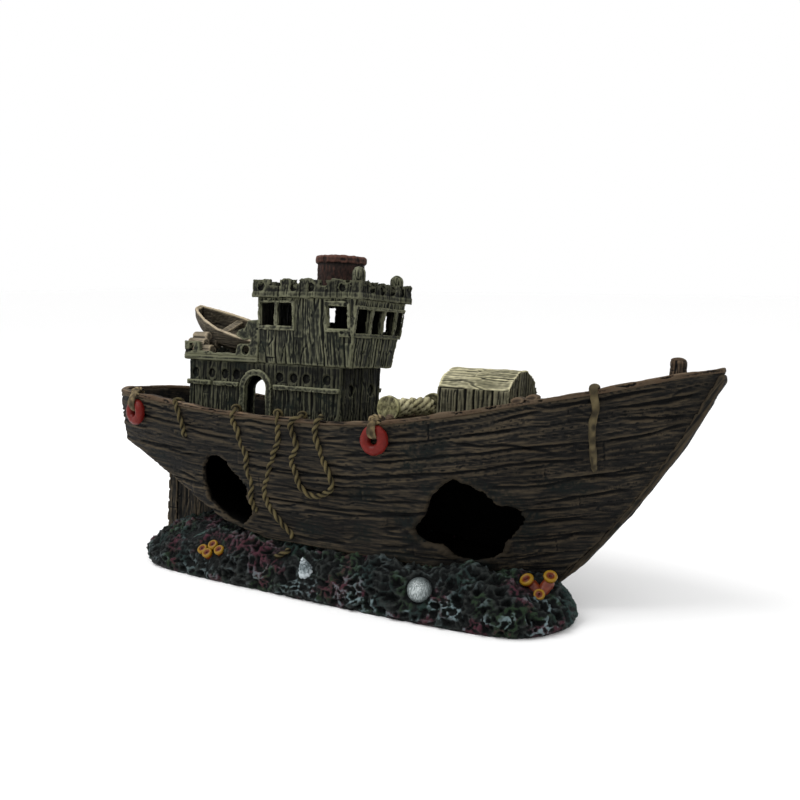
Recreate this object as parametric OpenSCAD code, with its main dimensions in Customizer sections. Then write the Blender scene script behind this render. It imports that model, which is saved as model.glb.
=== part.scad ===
// Aquarium ornament: a wrecked fishing boat that leans to port on a reef base.
// Millimetres. X runs to the bow, Y to port, Z up. Origin: centre of the footprint, on the floor.

/* [Placing] */
// Lean of the boat to port
heel = 5; // [0:0.5:8]
// Height of the axis that the boat leans about
heel_z = 20; // [15:1:25]
// Shift along the boat that centres the drawing stations on the origin
centre_x = -7.2; // [-9:0.1:-7]
// Shift across the boat that centres the leaning hull on the origin
centre_y = -1.1; // [-2:0.1:0]

/* [Hull] */
// Thickness of the hull shell
wall = 3; // [2.4:0.2:3.6]
// Height of the cap rails
cap_h = 1.8; // [1.4:0.2:2.4]
// Width of the cap rails
cap_w = 4.2; // [3.6:0.2:5]
// Thickness of the deck plate
deck_t = 3; // [2.4:0.2:4]

/* [Deckhouse] */
// Aft end of the deckhouse
cabin_aft = -110; // [-112:1:-106]
// Front end of the deckhouse
cabin_front = -10; // [-12:1:-8]
// Half width of the deckhouse
cabin_half = 19.7; // [19:0.1:20.5]
// Thickness of the cabin walls
cabin_wall = 2.6; // [2:0.2:3]
// Radius of the side portholes
port_r = 2.6; // [2:0.1:3]
// Height of the side portholes
port_z = 102.5; // [101:0.5:103.5]
// Height of the boat deck's underside
boat_deck_z = 109.6; // [109:0.1:110.4]

/* [Wheelhouse] */
// Half width of the wheelhouse at its foot
bridge_half = 20.2; // [19.8:0.1:20.6]
// Half width of the wheelhouse's front at the top
bridge_flare = 25.6; // [25:0.1:26]
// Height of the wheelhouse's top
bridge_top = 144.4; // [144:0.2:145]
// Thickness of the wheelhouse walls
bridge_wall = 2.4; // [2:0.2:2.8]

/* [Funnel] */
// Outer radius of the funnel's rim
funnel_r = 13; // [12:0.5:14]
// Height of the funnel's top
funnel_top = 167; // [162:1:170]

/* [Base] */
// Height of the reef under the hull
reef_h = 25; // [23:0.5:26]

/* [Bubbler] */
// Station of the air plug
plug_x = -40; // [-44:1:-36]
// Height of the air plug's axis
plug_z = 8.6; // [8.6:0.1:8.9]
// Bore radius of the air socket
socket_r = 6; // [5.6:0.1:6.2]
// Running clearance of the plug in its socket
plug_gap = 0.06; // [0.03:0.01:0.1]
// Radius of the airline nipple, for 4/6 mm airline
nipple_r = 2.2; // [2:0.1:2.4]
// Radius of the spigots inside the plug
spigot_r = 1.8; // [1.6:0.1:1.9]

/* [Trim] */
// Radius of the moulded ropes
rope_r = 1.8; // [1.4:0.1:2.2]
// Outer radius of the life rings
ring_r = 7.2; // [6.5:0.1:7.6]

/* [Hidden] */
$fn = 40;
slab = 0.02;

// Table of offsets: station, keel height, bilge half-beam and height, rail half-beam and height
LINES = [
    [-160, 58, 8, 64, 10, 91.5], [-157, 56, 15, 63, 17, 91.5], [-153, 54, 22, 63, 25, 91.5],
    [-148, 52, 28, 62.5, 33, 91], [-140, 49, 31, 60.5, 37, 90.5], [-125, 44, 34, 54.5, 41, 89.5],
    [-105, 36, 35.5, 45, 43.5, 88], [-85, 27, 37, 35, 45.5, 86.5], [-65, 20, 38, 26.5, 46.5, 85.2],
    [-40, 18, 38, 21, 47, 84.5], [0, 18, 38, 20.5, 47, 84.5], [30, 18, 37, 20, 46.5, 86.5],
    [55, 16.5, 33, 19, 45, 91], [75, 15, 25, 18.5, 42.5, 95], [90, 14.5, 17, 19, 39.5, 98.5],
    [103, 15, 9, 22, 36, 101.5], [115, 26, 7, 33, 31.5, 104], [130, 44, 5.5, 51, 25, 107.5],
    [145, 64, 4, 70, 18, 111.5], [158, 84, 2.5, 89, 11.5, 115], [168, 102, 1.5, 106, 6, 117.3],
    [175, 117, 0.6, 118, 1.5, 118.6]];
STATIONS = [for (s = LINES) s[0]];
// Stations of the hollow inside, which stops short of both ends
INNER = concat([-156.8], [for (x = STATIONS) if (x > -154 && x < 160) x]);
// Height of the deck along the boat
DECK = [[-160, 76], [40, 76], [90, 87], [158, 105]];

function column(k) = [for (s = LINES) [s[0], s[k]]];
function keel_z(x) = lookup(x, column(1));
function bilge_b(x) = lookup(x, column(2));
function bilge_z(x) = lookup(x, column(3));
function rail_b(x) = lookup(x, column(4));
function rail_z(x) = lookup(x, column(5));
function deck_z(x) = lookup(x, DECK);
function side_bulge(x) = 0.8 + 0.08 * (rail_b(x) - bilge_b(x));
function mid_z(x) = (bilge_z(x) + rail_z(x)) / 2;
function mid_b(x) = (bilge_b(x) + rail_b(x)) / 2 + side_bulge(x);
// Half-beam of the outer skin at station x and height z
function beam(x, z) = lookup(z, [[keel_z(x), 0.45 * bilge_b(x)], [bilge_z(x), bilge_b(x)],
    [mid_z(x), mid_b(x)], [rail_z(x), rail_b(x)]]);
// Half outline of a hull section, set in by `inset`, with its top at `top`
function half_section(x, inset, top) = [
    [max(0.45 * bilge_b(x) - inset, 0.3), keel_z(x) + inset],
    [max(bilge_b(x) - inset, 0.4), bilge_z(x) + 0.5 * inset],
    [max(mid_b(x) - inset, 0.4), mid_z(x)],
    [max(rail_b(x) - inset, 0.4), top]];
function mirrored(half) = concat(half, [for (i = [len(half) - 1:-1:0]) [-half[i][0], half[i][1]]]);

module aboard() {
    translate([centre_x, centre_y, heel_z]) rotate([-heel, 0, 0]) translate([0, 0, -heel_z]) children();
}
module ashore() { translate([centre_x, centre_y, 0]) children(); }
// A thin slice across the boat at station x
module slice(x) { translate([x, 0, 0]) rotate([90, 0, 90]) linear_extrude(slab, center = true) children(); }
module rib(x, inset, top) { slice(x) polygon(mirrored(half_section(x, inset, top))); }
module hull_form() {
    for (i = [0:len(STATIONS) - 2]) hull() for (x = [STATIONS[i], STATIONS[i + 1]])
        rib(x, 0, rail_z(x) - cap_h);
}
module hull_inside() {
    for (i = [0:len(INNER) - 2]) hull() for (x = [INNER[i], INNER[i + 1]]) rib(x, wall, rail_z(x) + 4);
}
// A plate cut in the XZ plane, from y0 to y1
module side_plate(y0, y1) { translate([0, y1, 0]) rotate([90, 0, 0]) linear_extrude(y1 - y0) children(); }
module both_sides() { for (s = [0, 1]) mirror([0, s, 0]) children(); }

// ---- swept tubes ----
function unit(v) = v / norm(v);
function catmull(a, b, c, d, t) = 0.5 * (2 * b + (c - a) * t + (2 * a - 5 * b + 4 * c - d) * t * t
    + (3 * b - a - 3 * c + d) * t * t * t);
function smooth(p, n) = concat([for (i = [0:len(p) - 2]) for (k = [0:n - 1])
    catmull(p[max(i - 1, 0)], p[i], p[i + 1], p[min(i + 2, len(p) - 1)], k / n)], [p[len(p) - 1]]);
function tangent(p, i) = unit(p[min(i + 1, len(p) - 1)] - p[max(i - 1, 0)]);
function square_to(n, t) = unit(n - (n * t) * t);
function normals(p, i, n) = i >= len(p) ? []
    : let (m = square_to(n, tangent(p, i))) concat([m], normals(p, i + 1, m));
module tube(p, r, sides) {
    ns = normals(p, 0, [0.31, 0.43, 0.85]);
    pts = [for (i = [0:len(p) - 1]) let (t = tangent(p, i), u = ns[i], v = cross(t, u))
        for (k = [0:sides - 1]) p[i] + r * (cos(360 * k / sides) * u + sin(360 * k / sides) * v)];
    last = (len(p) - 1) * sides;
    quads = [for (i = [0:len(p) - 2]) for (k = [0:sides - 1])
        let (a = i * sides + k, b = i * sides + (k + 1) % sides) [a, b, b + sides, a + sides]];
    ends = [[for (k = [sides - 1:-1:0]) k], [for (k = [0:sides - 1]) last + k]];
    polyhedron(pts, concat(quads, ends), 4);
}
// A rope starts inside the rail, goes over it and lies on the starboard side
function over_rail(x) = [[x, -rail_b(x) + 5.4, rail_z(x) - 2.5], [x, -rail_b(x) + 3.6, rail_z(x) + 1.2],
    [x, -rail_b(x) - 0.6, rail_z(x) + 1.2]];
function on_side(xz) = [for (p = xz) [p[0], -beam(p[0], p[1]) - 0.75 * rope_r, p[1]]];
module rope(xz, r) { tube(smooth(concat(over_rail(xz[0][0]), on_side(xz)), 2), r, 8); }

// ---- base ----
// Footprint of the reef, counter-clockwise from the bow end
REEF = [[119, -13], [108, 8], [96, 24], [76, 39], [45, 46], [5, 47.5], [-40, 45], [-85, 46.5], [-113, 39],
    [-131, 22], [-137, 0], [-131, -25], [-114, -42], [-84, -47.5], [-42, -49], [4, -50.5], [50, -50.8],
    [84, -49.5], [104, -45.5], [116, -31]];
reef_ctr = [-10, 0];
function wrap(i) = REEF[(i + len(REEF)) % len(REEF)];
SHORE = [for (i = [0:len(REEF) - 1]) for (k = [0:2])
    catmull(wrap(i - 1), wrap(i), wrap(i + 1), wrap(i + 2), k / 3)];
// Rings up the reef: how far out, and how high
RINGS = [[0.985, 0], [1, 3.5], [0.985, 8], [0.93, 13.5], [0.86, 18], [0.76, 22], [0.6, 25], [0.3, 25]];
module mound() {
    n = len(SHORE);
    pts = concat([for (r = RINGS) for (k = [0:n - 1])
        let (a = 360 * k / n, q = reef_ctr + r[0] * (SHORE[k] - reef_ctr),
        bump = r[1] < 4 ? 0 : 1.1 * sin(9 * a + 70 * r[0]) + 0.9 * sin(17 * a - 200 * r[0]))
        [q[0], q[1], r[1] * reef_h / 25 + bump]],
        [[reef_ctr[0], reef_ctr[1], 0], [reef_ctr[0], reef_ctr[1], reef_h]]);
    m = len(RINGS) * n;
    polyhedron(pts, concat(
        [for (i = [0:len(RINGS) - 2]) for (k = [0:n - 1])
            let (a = i * n + k, b = i * n + (k + 1) % n) each [[a, a + n, b + n], [a, b + n, b]]],
        [for (k = [0:n - 1]) [k, (k + 1) % n, m]],
        [for (k = [0:n - 1]) [m - n + k, m + 1, m - n + (k + 1) % n]]), 8);
}
plug_face = 42;
well = [[-53, -14], [-27, 15]];
module well_box(z0, z1) {
    translate([well[0][0], well[0][1], z0]) cube([well[1][0] - well[0][0], well[1][1] - well[0][1], z1 - z0]);
}
module rock_base() {
    color("#2c3a34") difference() {
        ashore() mound();
        aboard() hull_form();
        aboard() stern_form();
        aboard() stem_form();
        ashore() {
            well_box(2.5, 40);
            translate([plug_x, 0, plug_z]) rotate([-90, 0, 0]) cylinder(r = 7.6, h = 60);
            translate([plug_x - 13, plug_face, -1]) cube([26, 20, 40]);
        }
    }
}

// ---- hull ----
AFT_BREACH = [[-80, 46], [-79, 54], [-75, 60], [-68, 61], [-62, 58], [-58, 53], [-51, 48], [-49, 40],
    [-47, 32], [-54, 26], [-62, 28], [-70, 32], [-77, 37]];
FORE_BREACH = [[45, 37], [52, 44], [55, 53], [61, 60], [66, 63], [72, 61], [80, 57], [84, 52], [94, 50],
    [96, 46], [93, 41], [88, 35], [86, 29], [80, 25], [73, 23.5], [65, 25], [58, 30], [49, 32]];
module hull_shell() {
    color("#4a3a2c") difference() {
        hull_form();
        hull_inside();
        side_plate(-70, -4) polygon(AFT_BREACH);
        side_plate(-70, -4) polygon(FORE_BREACH);
        well_box(10, 30);
    }
}
module stem_form() {
    xs = [103, 115, 130, 145, 158, 168, 174];
    for (i = [0:len(xs) - 2]) hull() for (x = [xs[i], xs[i + 1]])
        translate([x - 4.4, -2.2, keel_z(x) - 2.4]) cube([5.6, 4.4, 5]);
}
module stem_timber() {
    color("#3f3227") difference() {
        stem_form();
        hull_form();
        translate([150, -5, 115.4]) cube([40, 10, 20]);
    }
}
module stern_form() {
    translate([-139, -2.6, 5]) cube([6.8, 5.2, 43]);
    side_plate(-1.4, 1.4) polygon([[-133, 6], [-133, 45], [-98, 31], [-84, 25], [-84, 10]]);
}
module stern_timber() { color("#3a3025") difference() { stern_form(); hull_form(); } }
function deck_half(x) = beam(x, deck_z(x) - deck_t / 2) - wall + 0.2;
module deck_plate() {
    plan = concat([for (x = INNER) [x, deck_half(x)]],
        [for (i = [len(INNER) - 1:-1:0]) [INNER[i], -deck_half(INNER[i])]]);
    profile = concat(DECK, [for (i = [len(DECK) - 1:-1:0]) DECK[i] - [0, deck_t]]);
    color("#4d4433") difference() {
        intersection() {
            linear_extrude(140) polygon(plan);
            side_plate(-60, 60) polygon(profile);
        }
        translate([-67, -7, 60]) cube([14, 14, 30]);
    }
}
module rail_strip() {
    for (i = [0:len(STATIONS) - 2]) hull() for (x = [STATIONS[i], STATIONS[i + 1]])
        slice(x) translate([max(rail_b(x) - cap_w + 0.6, -0.6), rail_z(x) - cap_h])
            square([min(cap_w, rail_b(x) + 1.2), cap_h]);
}
module rails() {
    color("#6b4a34") {
        both_sides() rail_strip();
        translate([-160.8, -10.4, rail_z(-160) - cap_h]) cube([3.6, 20.8, cap_h]);
    }
}

// ---- deckhouse ----
cabin_z = 75;
AFT_PORTS = [-105.5, -94, -85, -77];
FORE_PORTS = [-48, -39, -31, -18];
FRONT_PORTS = [-8.5, 10.5];
port_depth = 1.5;
// Doorways: station, half width, height of the arch's centre; starboard, then port
DOORS = [[-62.8, 7.2, 95.5], [-89.5, 6.4, 92.3]];
module arch(door, grow, foot) {
    half = door[1] + grow;
    translate([door[0], door[2]]) circle(half);
    translate([door[0] - half, foot]) square([2 * half, door[2] - foot]);
}
module cabin() {
    length = cabin_front - cabin_aft;
    color("#5b5a3c") difference() {
        translate([cabin_aft, -cabin_half, cabin_z]) cube([length, 2 * cabin_half, boat_deck_z - cabin_z]);
        translate([cabin_aft + cabin_wall, -cabin_half + cabin_wall, cabin_z - 1])
            cube([length - 2 * cabin_wall, 2 * (cabin_half - cabin_wall), boat_deck_z - cabin_z + 2]);
        side_plate(-30, 0) arch(DOORS[0], 0, cabin_z + 2.5);
        side_plate(0, 30) arch(DOORS[1], 0, cabin_z + 2.5);
        // blind portholes
        both_sides() for (x = concat(AFT_PORTS, FORE_PORTS))
            translate([x, cabin_half - port_depth, port_z]) rotate([-90, 0, 0]) cylinder(r = port_r, h = 5);
        for (y = FRONT_PORTS) translate([cabin_front - port_depth, y, port_z - 5.2]) rotate([0, 90, 0])
            cylinder(r = 3.2, h = 5);
    }
}
module ledges() {
    color("#8b8a58") {
        for (span = [[-110.5, -94], [-92, -74.6], [-51, -9.6]])
            translate([span[0], -cabin_half - 1.8, 96]) cube([span[1] - span[0], 1.8, 2.4]);
        for (span = [[-110.5, -99.6], [-79.4, -9.6]])
            translate([span[0], cabin_half, 96]) cube([span[1] - span[0], 1.8, 2.4]);
    }
}
module arches() {
    color("#7d7a4c") for (i = [0, 1]) mirror([0, 1 - i, 0])
        side_plate(cabin_half, cabin_half + 1.8) difference() {
            arch(DOORS[i], 3.4, cabin_z + 1);
            arch(DOORS[i], 0, cabin_z);
        }
}
slab_t = 2.8;
slab_half = 21.4;
module aft_slab() {
    color("#6f6d46") translate([-113, -slab_half, boat_deck_z]) cube([51, 2 * slab_half, slab_t]);
}
rail_t = 2.6;
module boat_rails() {
    z = boat_deck_z + slab_t;
    color("#75734a") {
        side_plate(-slab_half, -slab_half + rail_t) difference() {
            polygon([[-113, z], [-113, z + 7], [-103, z + 7], [-102.4, z + 1.6], [-96, z + 2.4],
                [-92, z + 1.2], [-85, z + 1.8], [-77, z + 1.2], [-76, z + 6], [-74, z + 7], [-67.5, z + 7],
                [-67, z + 9.5], [-72, z + 9], [-76.5, z + 11], [-75.5, z + 14.5], [-71, z + 15.5],
                [-69.5, z + 19.5], [-62, z + 20], [-62, z]]);
            translate([-109.8, z + 1.8]) square([3.4, 4]);
            translate([-70.4, z + 3.5]) circle(2.5);
        }
        side_plate(slab_half - rail_t, slab_half) translate([-113, z]) square([51, 7]);
        translate([-113, -slab_half + rail_t, z]) cube([rail_t, 2 * (slab_half - rail_t), 4.5]);
    }
}

// ---- wheelhouse ----
bridge_aft = -62;
bridge_front = -3.8;
bridge_rake = 5;
module bridge_plate(z, grow) {
    t = (z - boat_deck_z) / (bridge_top - boat_deck_z);
    front_half = bridge_half + t * (bridge_flare - bridge_half) + grow;
    aft_half = bridge_half + t * 2.2 + grow;
    front = bridge_front + t * bridge_rake + grow;
    translate([0, 0, z]) linear_extrude(slab) polygon([[bridge_aft - grow, -aft_half], [front, -front_half],
        [front, front_half], [bridge_aft - grow, aft_half]]);
}
module bridge_form(z0, z1, grow) { hull() { bridge_plate(z0, grow); bridge_plate(z1 - slab, grow); } }
SIDE_WINDOWS = [[-60, -50.4, 129.5, 141.6], [-48.6, -38.6, 129.5, 141.6], [-16.4, -3.6, 129, 140.4]];
PORT_WINDOWS = [[-60, -50.4, 129.5, 141.6], [-48.6, -41.4, 132.9, 141.2], [-13, -9.7, 128.6, 138]];
FRONT_WINDOWS = [[-22.2, -8.8], [-7, 3.2], [4.8, 14.8], [17, 23]];
sill_z = 127;
lintel_z = 139.4;
module window_row() {
    for (w = SIDE_WINDOWS) translate([w[0], -40, w[2]]) cube([w[1] - w[0], 40, w[3] - w[2]]);
    for (w = PORT_WINDOWS) translate([w[0], 0, w[2]]) cube([w[1] - w[0], 40, w[3] - w[2]]);
    for (w = FRONT_WINDOWS) translate([-9.6, w[0], sill_z]) cube([30, w[1] - w[0], lintel_z - sill_z]);
}
floor_t = 2.4;
module bridge() {
    color("#636140") difference() {
        bridge_form(boat_deck_z, bridge_top, 0);
        bridge_form(boat_deck_z + floor_t, bridge_top + 1, -bridge_wall);
        window_row();
    }
}
module frames() {
    color("#8a8857") difference() {
        intersection() {
            bridge_form(boat_deck_z, bridge_top, 1);
            union() {
                for (w = [[-61.4, -37.2], [-17.8, -2.2]]) translate([w[0], -40, 127.4])
                    cube([w[1] - w[0], 80, 15.4]);
                translate([-9, -24.2, 125]) cube([30, 48.4, 16]);
            }
        }
        bridge_form(boat_deck_z - 1, bridge_top + 1, 0);
        window_row();
    }
}
roof_t = 2;
parapet_t = 2.4;
module roof_plate(z0, h, grow) {
    translate([0, 0, z0]) linear_extrude(h) roof_outline(grow);
}
module roof_outline(grow) {
    aft = bridge_aft + 1.4 - grow;
    front = bridge_front + bridge_rake - 0.4 + grow;
    polygon([[aft, -22 - grow], [front, -23.6 - grow], [front, 23.6 + grow], [aft, 22 + grow]]);
}
PARAPET_GAPS = [[-52.5, 7, 150.5], [-36, 2.6, 152], [-20.5, 4, 151], [-4.4, 2, 152.4]];
PARAPET_HOLES = [-58, -37, -26, -7];
FRONT_HOLES = [-14, -3.7, 6.2, 16];
hole_r = 2.3;
// Distance from the centreline to the bottom of a blind hole at station x
function hole_floor(x) = lookup(x, [[-60.6, 23.6], [0.8, 25.2]]);
module roof() {
    color("#74724a") difference() {
        roof_plate(bridge_top, 9.4, 3);
        roof_plate(bridge_top + roof_t, 20, 3 - parapet_t);
        for (g = PARAPET_GAPS) translate([g[0], -40, g[2]]) cube([g[1], 80, 10]);
        // blind holes round the outside
        both_sides() for (x = PARAPET_HOLES) translate([x, 0, bridge_top + 5.2]) rotate([-90, 0, 0])
            difference() {
                cylinder(r = hole_r, h = 40);
                cylinder(r = 3, h = hole_floor(x));
            }
        for (y = FRONT_HOLES) translate([bridge_front + bridge_rake + 1.2, y, bridge_top + 5.4])
            rotate([0, 90, 0]) cylinder(r = hole_r, h = 6);
        for (y = [-14.8:7.4:15]) translate([-5, y - 1.2, bridge_top + 8]) cube([14, 2.4, 4]);
        for (y = [-12, 10]) translate([-70, y - 2, bridge_top + 6]) cube([14, 5, 8]);
    }
}
roof_z = bridge_top + roof_t;
module posts() {
    color("#9a9868") for (p = [[-19, 10.8], [19, 9.2]]) translate([-1.6, p[0], roof_z]) {
        cylinder(r = 3.3, h = p[1]);
        translate([0, 0, p[1]]) intersection() { sphere(3.3); cylinder(r = 4, h = 4); }
    }
}
module chimney() {
    color("#6d3325") translate([-25, 0, 0]) rotate_extrude() polygon([[funnel_r - 3.2, roof_z],
        [funnel_r - 0.7, roof_z], [funnel_r - 0.7, funnel_top - 3.4], [funnel_r, funnel_top - 2.8],
        [funnel_r, funnel_top - 0.5], [funnel_r - 0.6, funnel_top], [funnel_r - 2.6, funnel_top],
        [funnel_r - 3.2, funnel_top - 0.8]]);
}

// ---- boat-deck cargo ----
// Dinghy sections in its own frame: station, half-beam, keel height, sheer height
BOAT = [[-27, 6.2, -2.5, 8.4], [-20, 9, -4, 8.2], [-8, 10.8, -5.5, 8.2], [6, 10.6, -6, 8.6],
    [17, 8, -4.5, 9.8], [24, 4.8, -0.5, 11.2], [27.6, 2.3, 4, 12.2]];
module boat_slice(s, inset, lift) {
    b = max(s[1] - inset, 0.25);
    turn = s[2] + inset + 0.35 * (s[3] - s[2]);
    slice(s[0]) polygon([[-b, s[3] + lift], [-0.8 * b, turn], [-0.35 * b, s[2] + inset],
        [0.35 * b, s[2] + inset], [0.8 * b, turn], [b, s[3] + lift]]);
}
module boat_form(inset, lift, first, last) {
    for (i = [first:last - 1]) hull() for (s = [BOAT[i], BOAT[i + 1]]) boat_slice(s, inset, lift);
}
// The dinghy lies bow-aft and bow-up, rolled towards starboard
module in_dinghy() { translate([-94.2, 0.8, 121.7]) rotate([24, 0, 0]) rotate([0, -16, 180]) children(); }
module small_boat() {
    color("#6a5a40") in_dinghy() difference() {
        boat_form(0, 0, 0, len(BOAT) - 1);
        intersection() {
            boat_form(1.5, 1.2, 0, len(BOAT) - 1);
            translate([-25.4, -20, -10]) cube([50.8, 40, 35]);
        }
    }
}
module thwart() {
    color("#8a7152") in_dinghy() difference() {
        translate([2, -10, 5]) cube([4, 20, 1.5]);
        difference() {
            translate([-10, -20, 0]) cube([25, 40, 12]);
            boat_form(1.3, 1.2, 0, len(BOAT) - 1);
        }
    }
}
module logs() {
    // station of the aft end, side, height, length and radius
    color("#8c7b4a") for (p = [[-109.6, -15.9, 115, 12, 2.7], [-114.6, -14.6, 118.5, 11.4, 2.7],
            [-114.2, -11.4, 122.4, 10, 2.4], [-113.4, -5.4, 118.7, 11.5, 2.8], [-98, 2, 115, 12, 2.8]])
        translate([p[0], p[1], p[2]]) rotate([0, 90, 0]) cylinder(r = p[4], h = p[3]);
}

// ---- foredeck ----
winch_x = 21.5;
winch_z = 91.3;
winch_half = 24;
drum_r = 3.8;
module winch_ends() {
    color("#a09c74") both_sides() translate([winch_x, winch_half - 2.2, 0]) {
        translate([0, 0, winch_z]) rotate([-90, 0, 0]) cylinder(r = 6.2, h = 2.6);
        translate([-2.6, 0.3, deck_z(winch_x)]) cube([5.2, 1.6, winch_z - deck_z(winch_x)]);
    }
}
module rope_drum() {
    color("#7b7350") translate([winch_x, -winch_half + 2.2, winch_z]) rotate([-90, 0, 0])
        cylinder(r = drum_r, h = 2 * (winch_half - 2.2));
}
hatch_aft = 45;
hatch_front = 82.3;
hatch_half = 17.5;
module hatch_house() {
    arch = [[-hatch_half, 80], [-hatch_half, 103], [-13, 108], [-5, 112.3], [3.5, 112.3], [11, 109.3],
        [15.8, 104.6], [hatch_half, 99], [hatch_half, 80]];
    color("#8f9066") difference() {
        translate([hatch_aft, 0, 0]) rotate([90, 0, 90]) linear_extrude(hatch_front - hatch_aft)
            polygon(arch);
        for (i = [0:1]) hull() for (x = [[30, 55, 90][i], [30, 55, 90][i + 1]])
            slice(x) translate([-30, 0]) square([60, deck_z(x)]);
    }
}
module cleats() {
    color("#6e5138") {
        for (x = [95, 101]) translate([x, -rail_b(x) + 2.2, rail_z(x) + 0.4])
            rotate([90, 0, 0]) rotate([0, 0, 13]) resize([6, 3, 4]) cylinder(r = 2, h = 4, center = true);
        for (x = [25, 29.5, 34]) translate([x, -rail_b(x) + 3, rail_z(x) + 0.3]) sphere(2.2);
        both_sides() translate([-120, rail_b(-120) - 7, deck_z(-120)]) cylinder(r = 2.4, h = 7);
    }
}
module bitt() {
    color("#5f4b37") translate([155, 0, deck_z(155) - 2]) {
        cylinder(r = 3.7, h = 17.5);
        translate([0, 0, 17.5]) intersection() { scale([1, 1, 0.6]) sphere(3.7); cylinder(r = 5, h = 4); }
    }
}

// ---- trim on the starboard side ----
ring_t = 2.6;
RING_AFT = [-129.5, 79.3];
RING_MID = [28.8, 77.6];
module ring(at, yaw) {
    translate([at[0], -beam(at[0], at[1]) - ring_t + 0.3, at[1]]) rotate([90, 0, yaw])
        rotate_extrude() translate([ring_r - ring_t, 0]) circle(ring_t, $fn = 24);
}
module lashing(at) {
    p = [at[0], -beam(at[0], at[1]), at[1]];
    top = rail_z(at[0]);
    tube(smooth([p + [0.6, -4.9, 1.4], p + [0.2, -6.2, 4.6], p + [-0.4, -4.6, 8],
        [at[0] - 0.6, -rail_b(at[0]) - 1.2, top + 1], [at[0] - 1, -rail_b(at[0]) + 3.4, top + 1.4],
        [at[0] - 1.4, -rail_b(at[0]) + 5.6, top - 2]], 2), 1.2, 8);
}
STERN_ROPE = [[-97, 88], [-96, 83], [-93, 77], [-89, 69]];
AFT_ROPE = [[-55, 85], [-56, 81], [-53, 72], [-48, 63], [-48, 57], [-47, 48], [-45, 39], [-44, 33]];
LONG_ROPE = [[-28, 85], [-29, 80], [-28, 74], [-29, 67], [-34, 60], [-35, 54], [-37, 45], [-34, 38],
    [-28, 32],
    [-23, 26], [-22, 22.5]];
LOOP_ROPE = [[-15, 85], [-18, 83], [-18, 78], [-16, 71], [-19, 64], [-17, 57], [-14, 50], [-9, 47],
    [-2, 48.5],
    [3, 52], [4, 56], [3, 61], [0, 65], [-2, 70], [-4, 76], [-4, 81], [-3, 85.5], [0, 87]];
STRAP = [[126, 105], [126, 98], [125.5, 90], [125, 80], [124.5, 70]];

// ---- reef life ----
module cup(at, r, h, lean) {
    translate(at) rotate(lean) rotate_extrude() polygon([[0, -1], [0.75 * r, -1], [r, 0.5 * h], [r, h],
        [0.62 * r, h], [0.42 * r, 0.55 * h], [0, 0.5 * h]]);
}
module aft_corals() {
    color("#d9a520") ashore()
        for (p = [[-75.8, -42.3, 12], [-70.3, -40.4, 14.6], [-64.6, -42.3, 13.1], [-71.5, -43.6, 10.8]])
            cup(p, 2.4, 4.4, [38, 0, 0]);
}
module fore_branch() {
    color("#b8401c") ashore() {
        for (leg = [[[104, -22, 6], [103.5, -21, 12.5]], [[103.5, -21, 12.5], [99.5, -20.6, 17]],
            [[103.5, -21, 12.5], [106.6, -17.4, 18.6]]])
            hull() for (p = leg) translate(p) sphere(2.1, $fn = 16);
    }
}
module fore_cups() {
    color("#d98c1c") ashore() {
        cup([98.6, -21, 17.6], 3.3, 4, [38, 0, -20]);
        cup([106.8, -17.2, 19.6], 3.1, 4, [38, 0, 30]);
        cup([104.4, -22.4, 13.4], 2.6, 3.4, [60, 0, 10]);
    }
}
module pearl() { color("#b9bcbe") ashore() translate([54.4, -44.9, 14.4]) sphere(5.9); }
module snail() {
    color("#c9ced0") ashore() translate([-9, -44, 11.2]) rotate([24, 8, 0]) {
        scale([0.95, 0.8, 1]) sphere(3.4);
        translate([0.3, 0, 2]) cylinder(r1 = 3, r2 = 0.4, h = 8);
    }
}
module sunk_log() {
    color("#4d7370") ashore() tube([[-92.5, -37.5, 13.8], [-86.5, -35, 17], [-81, -32, 20]], 2.1, 10);
}

// ---- bubbler ----
// Axis of the plug: children are drawn along +Z, which becomes +Y
module on_plug_axis(y) { ashore() translate([plug_x, y, plug_z]) rotate([-90, 0, 0]) children(); }
socket_len = 25;
flange_r = 8.2;
module sleeve() {
    color("#1d1f21") on_plug_axis(plug_face - socket_len) difference() {
        union() {
            cylinder(r = socket_r + 1.5, h = socket_len);
            translate([0, 0, socket_len]) cylinder(r = flange_r, h = 1.2);
        }
        translate([0, 0, -1]) cylinder(r = socket_r, h = socket_len + 3);
    }
}
washer_y = plug_face + 1.2;
channel_r = 1;
module stone() {
    color("#7fa3b5") on_plug_axis(-10) {
        cylinder(r = 5, h = 24);
        translate([0, 0, 24]) cylinder(r = spigot_r, h = 6);
    }
}
module plug() {
    color("#232629") on_plug_axis(14) difference() {
        union() {
            cylinder(r = socket_r - plug_gap, h = washer_y + 1 - 14);
            translate([0, 0, washer_y + 1 - 14]) cylinder(r = flange_r, h = 2);
        }
        translate([0, 0, -1]) cylinder(r = spigot_r, h = 40);
    }
}
module washer() {
    color("#3b3d3f") on_plug_axis(washer_y) difference() {
        cylinder(r = flange_r, h = 1);
        translate([0, 0, -1]) cylinder(r = socket_r - plug_gap, h = 3);
    }
}
spigot_len = 8;
nipple_len = 6;
module inlet() {
    color("#2a2d30") on_plug_axis(washer_y + 3 - spigot_len) difference() {
        union() {
            cylinder(r = spigot_r, h = spigot_len);
            translate([0, 0, spigot_len]) cylinder(r = nipple_r, h = nipple_len);
            translate([0, 0, spigot_len + nipple_len]) cylinder(r1 = nipple_r, r2 = nipple_r - 0.4, h = 0.5);
        }
        translate([0, 0, -1]) cylinder(r = channel_r, h = 20);
    }
}

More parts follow.
